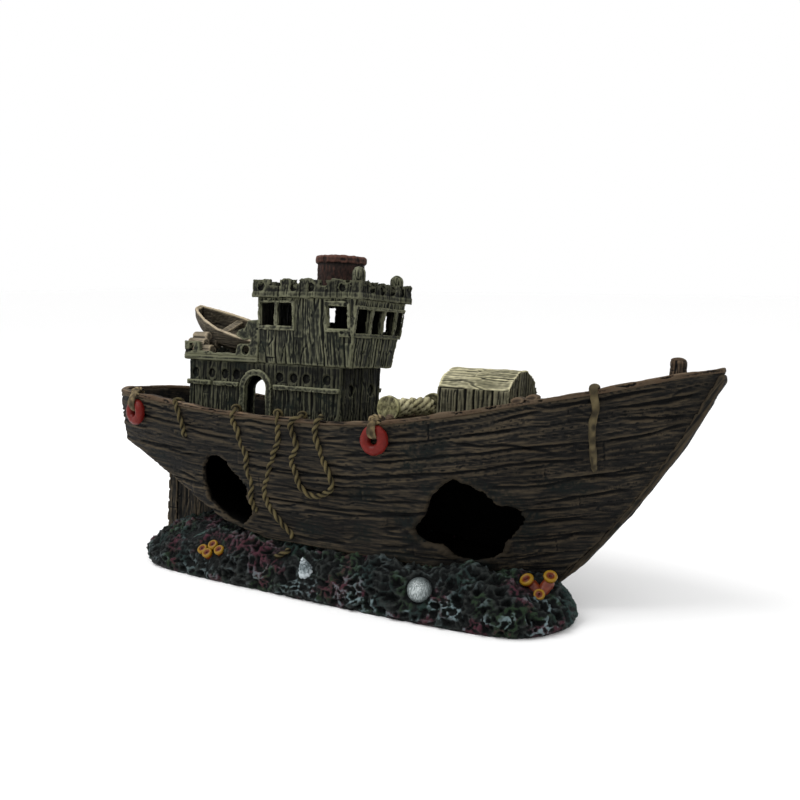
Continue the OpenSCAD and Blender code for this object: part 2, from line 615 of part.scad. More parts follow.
rock_base();
aboard() hull_shell();  // hull
aboard() stem_timber();  // stem_post
aboard() stern_timber();  // stern_post
aboard() deck_plate();  // main_deck
aboard() rails();  // cap_rails
aboard() cabin();  // deckhouse
aboard() ledges();  // cabin_ledges
aboard() arches();  // door_frames
aboard() aft_slab();  // boat_deck
aboard() boat_rails();  // boat_deck_rails
aboard() bridge();  // wheelhouse
aboard() frames();  // window_frames
aboard() roof();  // wheelhouse_roof
aboard() posts();  // roof_posts
aboard() chimney();  // funnel
aboard() small_boat();  // dinghy
aboard() thwart();  // dinghy_thwart
aboard() logs();  // dinghy_logs
aboard() winch_ends();  // winch_cheeks
aboard() rope_drum();  // winch_drum
aboard() hatch_house();  // cargo_hatch
aboard() cleats();  // rail_cleats
aboard() bitt();  // bow_bollard
aboard() color("#b02a1c") ring(RING_AFT, -14);  // life_ring_aft
aboard() color("#b02a1c") ring(RING_MID, 2);  // life_ring_mid
aboard() color("#6f6238")  // ring_lashings
    for (p = [RING_AFT, RING_MID]) lashing(p);
aboard() color("#6f6238") rope(STERN_ROPE, rope_r);  // rope_stern
aboard() color("#6f6238") rope(AFT_ROPE, rope_r);  // rope_aft
aboard() color("#6f6238") rope(LONG_ROPE, rope_r);  // rope_long
aboard() color("#6f6238") rope(LOOP_ROPE, rope_r);  // rope_loop
aboard() color("#6b5f3c") rope(STRAP, rope_r);  // bow_strap
ashore() color("#6f6238")  // rope_end
    tube([[-22.5, -39.5, 21.4], [-25.5, -41.5, 19], [-30, -43.4, 17]], rope_r, 8);
aft_corals();  // coral_aft
fore_branch();  // coral_fore_branch
fore_cups();  // coral_fore_cups
pearl();  // reef_pearl
snail();  // sea_snail
sunk_log();  // sunken_log
sleeve();  // air_socket
stone();  // air_stone
plug();  // stone_holder
washer();  // seal_washer
inlet();  // air_nipple
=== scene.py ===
"""Looks of the wrecked-boat aquarium ornament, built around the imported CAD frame.

Sizes are in mm. Pieces of the boat are worked on in its own upright frame (x to the bow, y to port, z up), and
pieces on the reef in the same frame without the heel, as in the CAD source.
"""

import math
from itertools import product

import bpy
import numpy as np
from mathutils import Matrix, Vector


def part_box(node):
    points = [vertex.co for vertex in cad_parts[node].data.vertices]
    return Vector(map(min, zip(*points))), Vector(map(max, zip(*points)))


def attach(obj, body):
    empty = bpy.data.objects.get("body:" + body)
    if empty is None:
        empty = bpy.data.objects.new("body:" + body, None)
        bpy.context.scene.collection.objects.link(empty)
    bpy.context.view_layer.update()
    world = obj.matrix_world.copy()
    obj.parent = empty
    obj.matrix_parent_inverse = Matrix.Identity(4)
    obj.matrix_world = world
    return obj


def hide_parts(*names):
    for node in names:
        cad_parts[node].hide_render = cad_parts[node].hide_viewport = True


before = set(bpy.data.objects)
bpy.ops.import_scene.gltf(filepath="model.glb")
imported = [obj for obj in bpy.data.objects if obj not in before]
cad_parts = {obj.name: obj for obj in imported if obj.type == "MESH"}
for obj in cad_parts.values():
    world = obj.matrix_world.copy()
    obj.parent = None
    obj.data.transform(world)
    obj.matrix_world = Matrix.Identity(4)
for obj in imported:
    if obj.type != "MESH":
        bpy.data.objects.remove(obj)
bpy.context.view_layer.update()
MM = 0.001

# ---- where things are
# The boat leans to port about a line at HEEL_Z, and the frame of the part is centred on its footprint.
SHIFT_X, SHIFT_Y = -7.2, -1.1
SHORE = np.array([SHIFT_X, SHIFT_Y, 0.0])  # where the reef's own frame starts
HEEL, HEEL_Z = math.radians(5), 20.0
# Station, keel height, bilge half-beam and height, rail half-beam and height
LINES = np.array([
    (-160, 58, 8, 64, 10, 91.5), (-157, 56, 15, 63, 17, 91.5), (-153, 54, 22, 63, 25, 91.5),
    (-148, 52, 28, 62.5, 33, 91), (-140, 49, 31, 60.5, 37, 90.5), (-125, 44, 34, 54.5, 41, 89.5),
    (-105, 36, 35.5, 45, 43.5, 88), (-85, 27, 37, 35, 45.5, 86.5), (-65, 20, 38, 26.5, 46.5, 85.2),
    (-40, 18, 38, 21, 47, 84.5), (0, 18, 38, 20.5, 47, 84.5), (30, 18, 37, 20, 46.5, 86.5),
    (55, 16.5, 33, 19, 45, 91), (75, 15, 25, 18.5, 42.5, 95), (90, 14.5, 17, 19, 39.5, 98.5),
    (103, 15, 9, 22, 36, 101.5), (115, 26, 7, 33, 31.5, 104), (130, 44, 5.5, 51, 25, 107.5),
    (145, 64, 4, 70, 18, 111.5), (158, 84, 2.5, 89, 11.5, 115), (168, 102, 1.5, 106, 6, 117.3),
    (175, 117, 0.6, 118, 1.5, 118.6)])
RAIL_LOW = 84.5  # the rail's lowest height, amidships
TRANSOM = -158.4  # aft of this, the hull's points are on the stern's face
# Outlines of the two breaches, as points (x, z)
AFT_BREACH = [(-80, 46), (-79, 54), (-75, 60), (-68, 61), (-62, 58), (-58, 53), (-51, 48), (-49, 40),
              (-47, 32), (-54, 26), (-62, 28), (-70, 32), (-77, 37)]
FORE_BREACH = [(45, 37), (52, 44), (55, 53), (61, 60), (66, 63), (72, 61), (80, 57), (84, 52), (94, 50),
               (96, 46), (93, 41), (88, 35), (86, 29), (80, 25), (73, 23.5), (65, 25), (58, 30), (49, 32)]
ROPE_R, ROPE_PITCH, ROPE_SIDES = 1.3, 8.4, 10
# Routes of the ropes and the strap down the starboard side, and centres of the rings, as points (x, z)
ROPES = {
    "rope_stern": [(-97, 88), (-96, 83), (-93, 77), (-89, 69)],
    "rope_aft": [(-55, 85), (-56, 81), (-53, 72), (-48, 63), (-48, 57), (-47, 48), (-45, 39), (-44, 33)],
    "rope_long": [(-28, 85), (-29, 80), (-28, 74), (-29, 67), (-34, 60), (-35, 54), (-37, 45), (-34, 38),
                  (-28, 32), (-23, 26), (-22, 22.5)],
    "rope_loop": [(-15, 85), (-18, 83), (-18, 78), (-16, 71), (-19, 64), (-17, 57), (-14, 50), (-9, 47),
                  (-2, 48.5), (3, 52), (4, 56), (3, 61), (0, 65), (-2, 70), (-4, 76), (-4, 81),
                  (-3, 85.5), (0, 87)]}
STRAP = [(126, 105), (126, 98), (125.5, 90), (125, 80), (124.5, 70)]
RINGS = [(-129.5, 79.3), (28.8, 77.6)]
ROPE_END = [(-22.5, -39.5, 21.4), (-25.5, -41.5, 19), (-30, -43.4, 17)]
# Cup corals: place, radius, height and lean about x, y and z in degrees
AFT_CUPS = [(at, 2.7, 4.4, (38, 0, 0)) for at in (
    (-75.8, -42.3, 12), (-70.3, -40.4, 14.6), (-64.6, -42.3, 13.1), (-71.5, -43.6, 10.8))]
FORE_CUPS = [((98.6, -21, 17.6), 3.3, 4, (38, 0, -20)), ((106.8, -17.2, 19.6), 3.1, 4, (38, 0, 30)),
             ((104.4, -22.4, 13.4), 2.6, 3.4, (60, 0, 10))]
SNAIL_AT, SNAIL_LEAN = (-9, -44, 11.2), math.radians(24)
PLUG_X, PLUG_Z, WELL_Y = -40, 8.6, 0.5  # axis of the bubbler's plug, along y, and middle of its well
ON_REEF = ("reef_pearl", "coral_aft", "coral_fore_branch", "coral_fore_cups", "sea_snail", "sunken_log",
           "rope_end")
# The long open seams on the starboard side, as points (x, z)
SEAMS = [
    [(-49, 78.3), (-35, 76.5)], [(-133, 62.2), (-89, 61.3)], [(-47, 57.7), (-16, 56.4), (15, 58.2), (51, 62.2)],
    [(-31, 39.6), (-16, 41.1)], [(-14, 38.2), (17, 40), (50, 43.4)], [(-44.5, 31.2), (-33, 31.6)],
    [(-19, 24.8), (10, 23.8)], [(-119, 83.4), (-98, 81.2)], [(-1, 75.9), (13, 76.6)], [(35, 79.4), (51, 82)],
    [(-1, 62.9), (17, 62.7)], [(30.5, 60.8), (68.6, 65.8), (102, 72.6), (121, 74.8)],
    [(81, 59.7), (103, 62.2), (124, 66.9), (145.7, 72.5)], [(131, 98.6), (152, 102.6), (166, 106.1)],
    [(129, 83.1), (145, 87.8), (161, 93.4)], [(99, 52.7), (121, 57.6), (139, 62.6)], [(101, 43.9), (121, 49.2)],
    [(89, 33.3), (111, 37.1), (119, 40.7)], [(89, 24.2), (108, 29.3)], [(29, 34.4), (41.5, 36.3)],
    [(137, 94.2), (161, 96.8)], [(66, 79), (88, 79.6), (109, 78.5)], [(83, 89.1), (94, 92.7), (106, 95.4)],
    [(31, 69.5), (47, 71.5)], [(29, 26.3), (43, 27.5)], [(-23, 48.7), (34, 49.7)], [(71, 82.4), (95, 87)],
    [(-90, 73), (-58, 70.5)], [(-150, 74), (-120, 71.5)], [(10, 69), (27, 69.6)], [(-100, 50), (-84, 46)]]
# Dark growth on the starboard side: centre x and z, and half-sizes along x and z
MOSS = [(52.7, 86, 8, 3), (51.5, 74, 9, 5), (47, 67, 6, 4), (112, 62.3, 12, 3.5), (43, 41, 7, 4),
        (45.6, 32, 7, 3), (98, 48, 6, 2.5), (-115, 56.3, 9, 4), (-11, 30, 9, 4.5), (21, 50, 9, 3.5),
        (23, 54, 7, 3), (36, 43, 6, 3), (-60, 24, 12, 3), (60, 78, 6, 3)]


def column(x, k):
    return np.interp(x, LINES[:, 0], LINES[:, k])


def beam(x, z):
    """Half-beam of the outer skin at station x and height z."""
    heights = [column(x, 1), column(x, 3), None, column(x, 5)]
    halves = [0.45 * column(x, 2), column(x, 2), None, column(x, 4)]
    bulge = 0.8 + 0.08 * (halves[3] - halves[1])
    heights[2] = (heights[1] + heights[3]) / 2
    halves[2] = (halves[1] + halves[3]) / 2 + bulge
    out = halves[0] + 0 * z
    for i in range(3):
        t = np.clip((z - heights[i]) / np.maximum(heights[i + 1] - heights[i], 0.01), 0, 1)
        out = out + t * (halves[i + 1] - halves[i])
    return out


def turned(p, angle):
    """Points or directions turned about x."""
    c, s = math.cos(angle), math.sin(angle)
    return np.stack([p[:, 0], p[:, 1] * c - p[:, 2] * s, p[:, 1] * s + p[:, 2] * c], 1)


def to_ship(p):
    """Points of the part, in the boat's own frame."""
    return turned(p - (SHIFT_X, SHIFT_Y, HEEL_Z), HEEL) + (0, 0, HEEL_Z)


def from_ship(p):
    """Points of the boat's own frame, in the part."""
    return turned(p - (0, 0, HEEL_Z), -HEEL) + (SHIFT_X, SHIFT_Y, HEEL_Z)


# ---- noise
def lattice(i, seed):
    """A fixed random-looking number from 0 to 1 for each whole-number point."""
    h = (i[:, 0] * 374761393 + i[:, 1] * 668265263 + i[:, 2] * 1103515245 + seed * 12820163) & 0xFFFFFFFF
    h = ((h ^ (h >> 15)) * 739982445) & 0xFFFFFFFF
    h = ((h ^ (h >> 12)) * 695872825) & 0xFFFFFFFF
    return ((h ^ (h >> 15)) & 0xFFFFFF) / 0xFFFFFF


def noise(p, size, seed):
    """Smooth noise from 0 to 1, with one feature size or one per axis."""
    q = p / np.asarray(size, float) + 500.0
    base = np.floor(q).astype(np.int64)
    t = q - base
    t = t * t * (3 - 2 * t)
    total = np.zeros(len(p))
    for corner in product((0, 1), repeat=3):
        weight = np.prod(np.where(np.array(corner), t, 1 - t), axis=1)
        total += weight * lattice(base + np.array(corner), seed)
    return total


def fbm(p, size, seed, octaves=3):
    total, reach = 0.0, 0.0
    for k in range(octaves):
        total = total + noise(p, np.asarray(size, float) / 2 ** k, seed + 11 * k) / 2 ** k
        reach += 1 / 2 ** k
    return total / reach


def uneven(p, size, seed, octaves=3):
    """Noise of three sizes from -0.5 to 0.5."""
    return fbm(p, size, seed, octaves) - 0.5


def ridged(p, size, seed):
    """Noise from 0 to 1 that peaks along lines."""
    return 1 - np.abs(2 * noise(p, size, seed) - 1)


def cells(p, size, seed):
    """Distances to the nearest and the next cell centre, in cells, and a number for the nearest cell."""
    q = p / np.asarray(size, float) + 500.0
    base = np.floor(q).astype(np.int64)
    first, second, which = np.full(len(p), 9.0), np.full(len(p), 9.0), np.zeros(len(p))
    for offset in product((-1, 0, 1), repeat=3):
        c = base + np.array(offset)
        centre = c + np.stack([lattice(c, seed + k) for k in range(3)], 1)
        d = np.linalg.norm(centre - q, axis=1)
        second = np.minimum(second, np.maximum(first, d))
        which = np.where(d < first, lattice(c, seed + 7), which)
        first = np.minimum(first, d)
    return first, second, which


def warp(p, size, amount, seed, stride=29, octaves=2):
    """The points moved about by smooth noise, whose seeds on the three axes are stride apart."""
    return p + amount * (np.stack([fbm(p, size, seed + stride * k, octaves) for k in range(3)], 1) - 0.5)


def step(lo, hi, x):
    """0 at lo, 1 at hi and smooth between them; lo may be the larger."""
    t = np.clip((x - lo) / (hi - lo), 0, 1)
    return t * t * (3 - 2 * t)


def outline_distance(x, z, outline):
    best = np.full(len(x), 1e9)
    for a, b in zip(outline, outline[1:] + outline[:1]):
        ab = np.array(b, float) - a
        t = np.clip(((x - a[0]) * ab[0] + (z - a[1]) * ab[1]) / (ab @ ab), 0, 1)
        best = np.minimum(best, np.hypot(x - a[0] - t * ab[0], z - a[1] - t * ab[1]))
    return best


# ---- meshes
def new_object(name, data):
    obj = bpy.data.objects.new(name, data)
    bpy.context.scene.collection.objects.link(obj)
    return obj


def voxel_copy(node, voxel):
    """A new evenly meshed copy of a CAD node."""
    temp = new_object("temp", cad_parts[node].data.copy())
    mod = temp.modifiers.new("voxels", "REMESH")
    mod.mode, mod.voxel_size, mod.use_smooth_shade = "VOXEL", voxel * MM, True
    mesh = bpy.data.meshes.new_from_object(temp.evaluated_get(bpy.context.evaluated_depsgraph_get()))
    bpy.data.objects.remove(temp)
    mesh.materials.clear()
    return mesh


def read(items, key, width, dtype=np.float32):
    out = np.empty(len(items) * width, dtype)
    items.foreach_get(key, out)
    return out.reshape(-1, width)


def convexity(mesh, p, n, rounds):
    """How far each point stands above its surroundings, in mm."""
    e = read(mesh.edges, "vertices", 2, np.int32)
    count = len(p)
    degree = np.bincount(e.ravel(), minlength=count)
    soft = p.copy()
    for _ in range(rounds):
        around = np.stack([np.bincount(e[:, 0], soft[e[:, 1], k], count)
                           + np.bincount(e[:, 1], soft[e[:, 0], k], count) for k in range(3)], 1)
        soft = (soft + around) / (degree + 1)[:, None]
    return ((p - soft) * n).sum(1)


def move_points(mesh, p):
    mesh.vertices.foreach_set("co", (p * MM).astype(np.float32).ravel())
    mesh.update()


def add_piece(name, mesh, p, layers, material, nodes):
    """Makes the object from points in the part's frame."""
    move_points(mesh, p)
    mesh.shade_smooth()
    for key, values in layers.items():
        layer = mesh.attributes.new(key, "FLOAT", "POINT")
        layer.data.foreach_set("value", np.broadcast_to(values, len(p)).astype(np.float32))
    mesh.update()
    obj = new_object(name, mesh)
    obj.data.materials.append(material)
    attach(obj, "wreck")
    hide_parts(*nodes)


def cast_piece(node, voxel, carve, material, depth, rounds, aboard=True):
    """A CAD node's shape, recut as cast resin: carve gives the outward offset and the layers of the paint."""
    mesh = voxel_copy(node, voxel)
    p = read(mesh.vertices, "co", 3).astype(float) / MM
    n = read(mesh.vertex_normals, "vector", 3).astype(float)
    local, local_n = (to_ship(p), turned(n, HEEL)) if aboard else (p - SHORE, n)
    out, layers = carve(local, local_n)
    p = p + n * np.asarray(out)[:, None]
    p[:, 2] = np.maximum(p[:, 2], 0)
    move_points(mesh, p)
    n = read(mesh.vertex_normals, "vector", 3).astype(float)
    layers["relief"] = np.clip(0.5 + convexity(mesh, p, n, rounds) / (2 * depth), 0, 1)
    add_piece(node + "_cast", mesh, p, layers, material, [node])


def unit(v):
    return v / np.maximum(np.linalg.norm(v, axis=-1, keepdims=True), 1e-9)


def smooth_line(points, gap):
    """A Catmull-Rom line through the points, resampled evenly."""
    q = np.array(points, float)
    q = np.vstack([2 * q[0] - q[1], q, 2 * q[-1] - q[-2]])
    t = np.linspace(0, 1, 40, endpoint=False)[:, None]
    parts = []
    for a, b, c, d in zip(q[:-3], q[1:-2], q[2:-1], q[3:]):
        parts.append(0.5 * (2 * b + (c - a) * t + (2 * a - 5 * b + 4 * c - d) * t ** 2
                            + (3 * b - a - 3 * c + d) * t ** 3))
    line = np.vstack(parts + [q[-2:-1]])
    run = np.concatenate([[0], np.cumsum(np.linalg.norm(np.diff(line, axis=0), axis=1))])
    at = np.linspace(0, run[-1], max(int(run[-1] / gap), 4))
    return np.stack([np.interp(at, run, line[:, k]) for k in range(3)], 1), at


def side_frames(line):
    """Two directions across the line at each point, without twist."""
    t = unit(np.gradient(line, axis=0))
    u = np.empty_like(t)
    u[0] = unit(np.cross(t[0], [0.31, 0.43, 0.85]))
    for i in range(1, len(t)):
        u[i] = unit(u[i - 1] - (u[i - 1] @ t[i]) * t[i])
    return u, np.cross(t, u)


def ring_faces(rows, sides):
    """The faces of a closed tube of rows rings."""
    faces = [(i * sides + k, i * sides + (k + 1) % sides, (i + 1) * sides + (k + 1) % sides,
              (i + 1) * sides + k) for i in range(rows - 1) for k in range(sides)]
    return faces + [tuple(range(sides))[::-1], tuple((rows - 1) * sides + k for k in range(sides))]


def tube(line, radius, sides):
    """Points and faces of a closed swept tube."""
    u, v = side_frames(line)
    a = 2 * math.pi * np.arange(sides) / sides
    r = np.broadcast_to(radius, len(line))[:, None, None]
    p = line[:, None] + r * (np.cos(a)[None, :, None] * u[:, None] + np.sin(a)[None, :, None] * v[:, None])
    return p.reshape(-1, 3), ring_faces(len(line), sides)


def joined(parts):
    """One mesh from several (points, faces, relief) parts, and the stacked points and relief."""
    points, faces, relief, base = [], [], [], 0
    for p, f, r in parts:
        points.append(p)
        relief.append(np.broadcast_to(r, len(p)))
        faces += [tuple(i + base for i in face) for face in f]
        base += len(p)
    p = np.vstack(points)
    mesh = bpy.data.meshes.new("made")
    mesh.from_pydata((p * MM).tolist(), [], faces)
    return mesh, p, np.concatenate(relief)


def along_noise(run, size, lane, seed):
    """Noise along a line, different in each lane."""
    return noise(np.stack([run, 0 * run, 0 * run + lane], 1), (size, 1, 1), seed)


def twisted(points, r, pitch, gap=0.45, wobble=0.0, seed=0):
    """Two strands twisted round the line through the points."""
    line, run = smooth_line(points, gap)
    if wobble:
        shake = np.stack([along_noise(run, 7, k, seed) for k in range(3)], 1)
        line = line + wobble * (shake - 0.5)
    u, v = side_frames(line)
    ends = np.clip(np.minimum(run, run[-1] - run) / r, 0.15, 1) ** 0.5
    parts = []
    for strand in range(2):
        a = (2 * math.pi * (run / pitch + strand / 2))[:, None]
        centre = line + 0.5 * r * (np.cos(a) * u + np.sin(a) * v)
        thick = 0.62 * r * ends * (0.9 + 0.25 * along_noise(run, 3, strand, seed))
        p, f = tube(centre, thick, ROPE_SIDES)
        away = np.linalg.norm(p - np.repeat(line, ROPE_SIDES, axis=0), axis=1) / (1.1 * r)
        parts.append((p, f, np.clip(1.4 * away - 0.55, 0, 1)))
    return parts


# ---- materials
class Paint:
    """A node material under construction."""

    def __init__(self, name):
        self.mat = bpy.data.materials.new(name)
        self.mat.use_nodes = True
        self.tree = self.mat.node_tree
        self.shader = self.tree.nodes["Principled BSDF"]
        self.place = self.add("TexCoord", {}).outputs["Object"]

    def add(self, kind, values, **settings):
        node = self.tree.nodes.new("ShaderNode" + kind)
        for key, value in settings.items():
            setattr(node, key, value)
        self.fill(node, values)
        return node

    def fill(self, node, values):
        for key, value in values.items():
            if isinstance(value, bpy.types.NodeSocket):
                self.tree.links.new(value, node.inputs[key])
            else:
                node.inputs[key].default_value = value

    def set(self, **values):
        self.fill(self.shader, {key.replace("_", " "): value for key, value in values.items()})

    def math(self, what, a, b=0.0, clamp=False):
        return self.add("Math", {0: a, 1: b}, operation=what, use_clamp=clamp).outputs[0]

    def times(self, a, b, clamp=False):
        return self.math("MULTIPLY", a, b, clamp)

    def swing(self, value, amount):
        """How far value is from 0.5, times amount."""
        return self.times(self.math("SUBTRACT", value, 0.5), amount)

    def noise(self, size, detail=4.0, roughness=0.6):
        """Noise whose features measure size mm along each axis."""
        size = (size,) * 3 if isinstance(size, (int, float)) else size
        scale = tuple(1 / (s * MM) for s in size)
        where = self.add("Mapping", {"Vector": self.place, "Scale": scale})
        return self.add("TexNoise", {"Vector": where.outputs[0], "Scale": 1.0, "Detail": detail,
                                               "Roughness": roughness}).outputs[0]

    def layer(self, key):
        return self.add("Attribute", {}, attribute_name=key).outputs["Fac"]

    def ramp(self, value, stops):
        node = self.add("ValToRGB", {"Fac": value})
        points = node.color_ramp.elements
        while len(points) < len(stops):
            points.new(0.5)
        for point, (at, colour) in zip(points, stops):
            point.position, point.color = at, (*colour, 1)
        return node.outputs["Color"]

    def range(self, value, lo, hi, to_lo=0.0, to_hi=1.0):
        return self.add("MapRange", {"Value": value, "From Min": lo, "From Max": hi, "To Min": to_lo,
                                               "To Max": to_hi}).outputs[0]

    def mix(self, factor, a, b, blend="MIX"):
        a, b = [(*c, 1) if isinstance(c, tuple) else c for c in (a, b)]
        return self.add("Mix", {0: factor, 6: a, 7: b}, data_type="RGBA", blend_type=blend).outputs[2]

    def bump(self, height, strength, distance):
        node = self.add("Bump", {"Height": height, "Strength": strength, "Distance": distance * MM})
        self.set(Normal=node.outputs[0])


def resin(name, dark, mid, light, tint, grain, rub=0.3, moss=None, gain=1.0, spread=(0.2, 0.48, 0.8),
          flow=False):
    """Painted cast resin: dark wash in the hollows, dry-brushed colour on what stands out.

    Streaks of size grain count by rub and the relief by gain; spread is where on them the three colours sit.
    """
    m = Paint(name)
    plain = m.place
    if flow:
        part = m.add("SeparateXYZ", {0: plain}).outputs
        m.place = m.add("CombineXYZ", {0: part[0], 1: part[1], 2: m.layer("flow")}).outputs[0]
    fine = m.noise(grain, 6, 0.7)
    m.place = plain
    broad = m.noise(17, 3)
    height = m.math("ADD", m.swing(m.layer("relief"), gain), 0.5)
    level = m.math("ADD", height, m.swing(fine, rub))
    level = m.math("ADD", level, m.swing(broad, 0.35), clamp=True)
    colour = m.ramp(level, list(zip(spread, (dark, mid, light))))
    colour = m.mix(m.range(m.noise(11, 4), 0.42, 0.62, 0, 0.55), colour, tint, "MULTIPLY")
    shade = m.math("ADD", m.times(m.layer("tone"), 0.55), 0.72)
    colour = m.mix(1.0, colour, m.add("CombineColor", {0: shade, 1: shade, 2: shade}).outputs[0],
                   "MULTIPLY")
    if moss:
        patch = m.times(m.layer("moss"), m.range(m.noise(2.2, 4), 0.35, 0.6), clamp=True)
        colour = m.mix(patch, colour, moss)
    colour = m.mix(m.times(m.layer("crack"), 0.93), colour, tuple(0.5 * c for c in dark))
    # painted shade: faces marked inside, within the hull and within closed boxes, are darkened towards black
    colour = m.mix(m.times(m.layer("inside"), 0.9), colour, tuple(0.3 * c for c in dark))
    m.set(Base_Color=colour, Roughness=m.range(level, 0, 1, 0.62, 0.8), Specular_IOR_Level=0.1)
    m.bump(m.math("ADD", fine, m.times(m.noise(0.7, 3), 0.6)), 0.6, 0.45)
    return m.mat


def plain_layers(**own):
    """The layers that the paints read: its own ones, and plain values for the others."""
    return {"tone": 0.5, "moss": 0.0, "inside": 0.0, "crack": 0.0, "flow": 0.0, **own}


# ---- hull
BUTT = 61.0  # length of a plank between its butt joints


def seams(q, along, seed, low, high, deep, length):
    """Planks from low to high wide, stacked along q: index, depth of gaps, and each plank's lift and tone."""
    rng = np.random.default_rng(seed)
    edges = -400 + np.cumsum(rng.uniform(low, high, int(900 / low)))
    k = np.searchsorted(edges, q)
    below, above = q - edges[k - 1], edges[np.minimum(k, len(edges) - 1)] - q
    near = np.where(below < above, k - 1, k)
    gap = np.minimum(below, above)
    run = np.stack([along, near * 3.7, 0 * along], 1)
    open_ = step(0.46, 0.70, noise(run, (length, 1, 1), seed + 1))
    width = 0.27 + 0.4 * open_ * noise(run, (5, 1, 1), seed + 2)
    depth = deep * (0.25 + 0.95 * open_)
    cut = depth * np.exp(-(gap / width) ** 2)
    # butt joints break each plank at its own places
    shift = 37.0 * k
    at = (along + shift) / BUTT
    part = np.floor(at)
    joint = np.abs(at - np.round(at)) * BUTT
    cell = np.stack([k, part, 0 * part], 1).astype(np.int64) + 1000
    lift, tone = lattice(cell, seed + 5), lattice(cell, seed + 6)
    cut = np.maximum(cut, 0.55 * deep * np.exp(-(joint / 0.35) ** 2) * (lattice(cell, seed + 7) > 0.86))
    return k, cut, lift - 0.5, tone


def wood_relief(along, q, k, seed, across=1.05, length=20.0, amount=0.45):
    """Long split grain: ridges that run along the plank, with sharp checks in them."""
    p = np.stack([along, q, k * 5.3], 1)
    coarse = ridged(p, (length, across, 1), seed) - 0.5
    fine = ridged(p, (length / 2.2, across / 2, 1), seed + 1) - 0.5
    check = step(0.90, 0.99, ridged(p, (length * 1.4, across * 1.6, 1), seed + 2))
    return amount * (1.1 * coarse + 0.55 * fine) - 0.9 * amount * check


def drawn_seams(x, z):
    """How near each point is to a drawn seam, from 0 to 1."""
    best = np.zeros(len(x))
    for i, line in enumerate(SEAMS):
        xs, zs = np.array(line, float).T
        run = np.stack([x, 0 * x + 9 * i, 0 * x], 1)
        height = np.interp(x, xs, zs) + 1.5 * (noise(run, (13, 1, 1), 51) - 0.5)
        width = 0.28 + 0.5 * noise(run, (6, 1, 1), 52)
        fade = np.clip(np.minimum(x - xs[0], xs[-1] - x) / 4, 0, 1)
        best = np.maximum(best, fade * np.exp(-((z - height) / width) ** 2))
    return best


def breach_edges(p):
    """Nearness to the breaches' edges, to the fore one's thick worn sill and to the scallops at its left."""
    x, y, z = p.T
    dist = np.full(len(x), 99.0)
    for hole in (AFT_BREACH, FORE_BREACH):
        dist = np.minimum(dist, np.where(y < -3, outline_distance(x, z, hole), 99.0))
    lip = np.exp(-(dist / 2.0) ** 2)
    sill = np.exp(-(dist / 4.5) ** 2) * step(38, 33, z) * (x > 44) * (x < 90)
    scallop = np.exp(-(dist / 3.5) ** 2) * step(56, 48, x) * step(40, 44, x) * step(33, 37, z)
    return lip, sill, scallop


def hull_moss(p, side):
    x, z = p[:, 0], p[:, 2]
    moss = 0.8 * step(0.66, 0.76, fbm(np.stack([x, side, z], 1), (19, 1, 11), 44))
    ragged = 1.1 * uneven(p, (5, 5, 3), 45)
    for mx, mz, rx, rz in MOSS:
        moss = np.maximum(moss, step(1.1, 0.6, np.hypot((x - mx) / rx, (z - mz) / rz) + ragged))
    return moss


def carve_hull(p, n):
    """Worn planking that follows the sheer, torn at the breaches."""
    x, y, z = p.T
    side = np.where(y < 0, 0.0, 50.0)
    sheer, keel = column(x, 5), column(x, 1)
    outer = (np.abs(y) > beam(x, z) - 1.5) | (z < keel + 1.5) | (x < TRANSOM)
    # q counts planks upwards, along the rail at the top and level near the keel
    rise = np.clip((z - 20) / (sheer - 20), 0, 1)
    q = z - (sheer - RAIL_LOW) * np.where(x > 0, 0.3 + 0.7 * rise, 0.85)
    wavy = np.stack([x, side, q], 1)
    q = q + 3.4 * uneven(wavy, (60, 1, 22), 3) + 0.8 * (noise(wavy, (9, 1, 5), 8) - 0.5)
    along = np.where(x < -153, y * 0.8 - 140, x) + side * 3
    k, gaps, lift, tone = seams(q, along, 21, 4.2, 8.4, 1.15, 34)
    rub_band = 1 - 0.75 * step(7.5, 4.5, z - keel) * (x < 100)
    drawn = np.where(y < 0, drawn_seams(x, z), drawn_seams(x + 9, z + 2.2)) * outer
    out = 0.5 * lift + wood_relief(along, q, k, 31) * (0.8 + 0.5 * noise(wavy, (30, 1, 12), 9))
    out = (out - gaps) * rub_band
    lip, sill, scallop = breach_edges(p)
    torn = 0.6 * fbm(p, (5, 5, 3.2), 17) + 0.4 * fbm(p, (4, 2, 1.5), 16) - 0.5
    out = out * (1 - 0.3 * np.maximum(sill, 0.5 * lip)) + lip * 3.6 * torn + 0.6 * sill
    out = out + scallop * (2.6 * (noise(p, (4, 9, 3.4), 19) - 0.3))
    # inside marks the faces within the hull, which the paint darkens as painted shade, a quarter as much within
    # 9 mm of the rail
    inside = np.where(outer, 0.0, 1.0) * step(0.0, 2.6, beam(x, z) - np.abs(y))
    inside = np.where(z > sheer - 9, 0.25 * inside, inside)
    wear_and_top_light = fbm(np.stack([x, side, z], 1), (45, 1, 15), 46) - 0.5
    tone = 0.5 + 0.6 * (tone - 0.5) + 1.5 * wear_and_top_light - np.maximum(sill, 0.6 * lip)
    tone = tone - 0.2 * step(60, 110, x) - 0.3 * step(-20, 40, x) * step(60, 45, z)
    crack = np.clip(np.maximum(drawn, 0.75 * gaps * rub_band * (1 - lip) / 1.3), 0, 1) * outer
    layers = plain_layers(tone=tone, moss=hull_moss(p, side), inside=inside, crack=crack, flow=q * MM)
    out = np.where(outer, out - 1.3 * drawn, 0.8 * uneven(p, (7, 7, 4), 18))
    # no dents where the hull meets the cap rails and the stem
    joined_edge = (z > sheer - 2.2) | ((np.abs(y) < 4) & (x > 60))
    return np.where(joined_edge, np.maximum(out, -0.15), out), layers


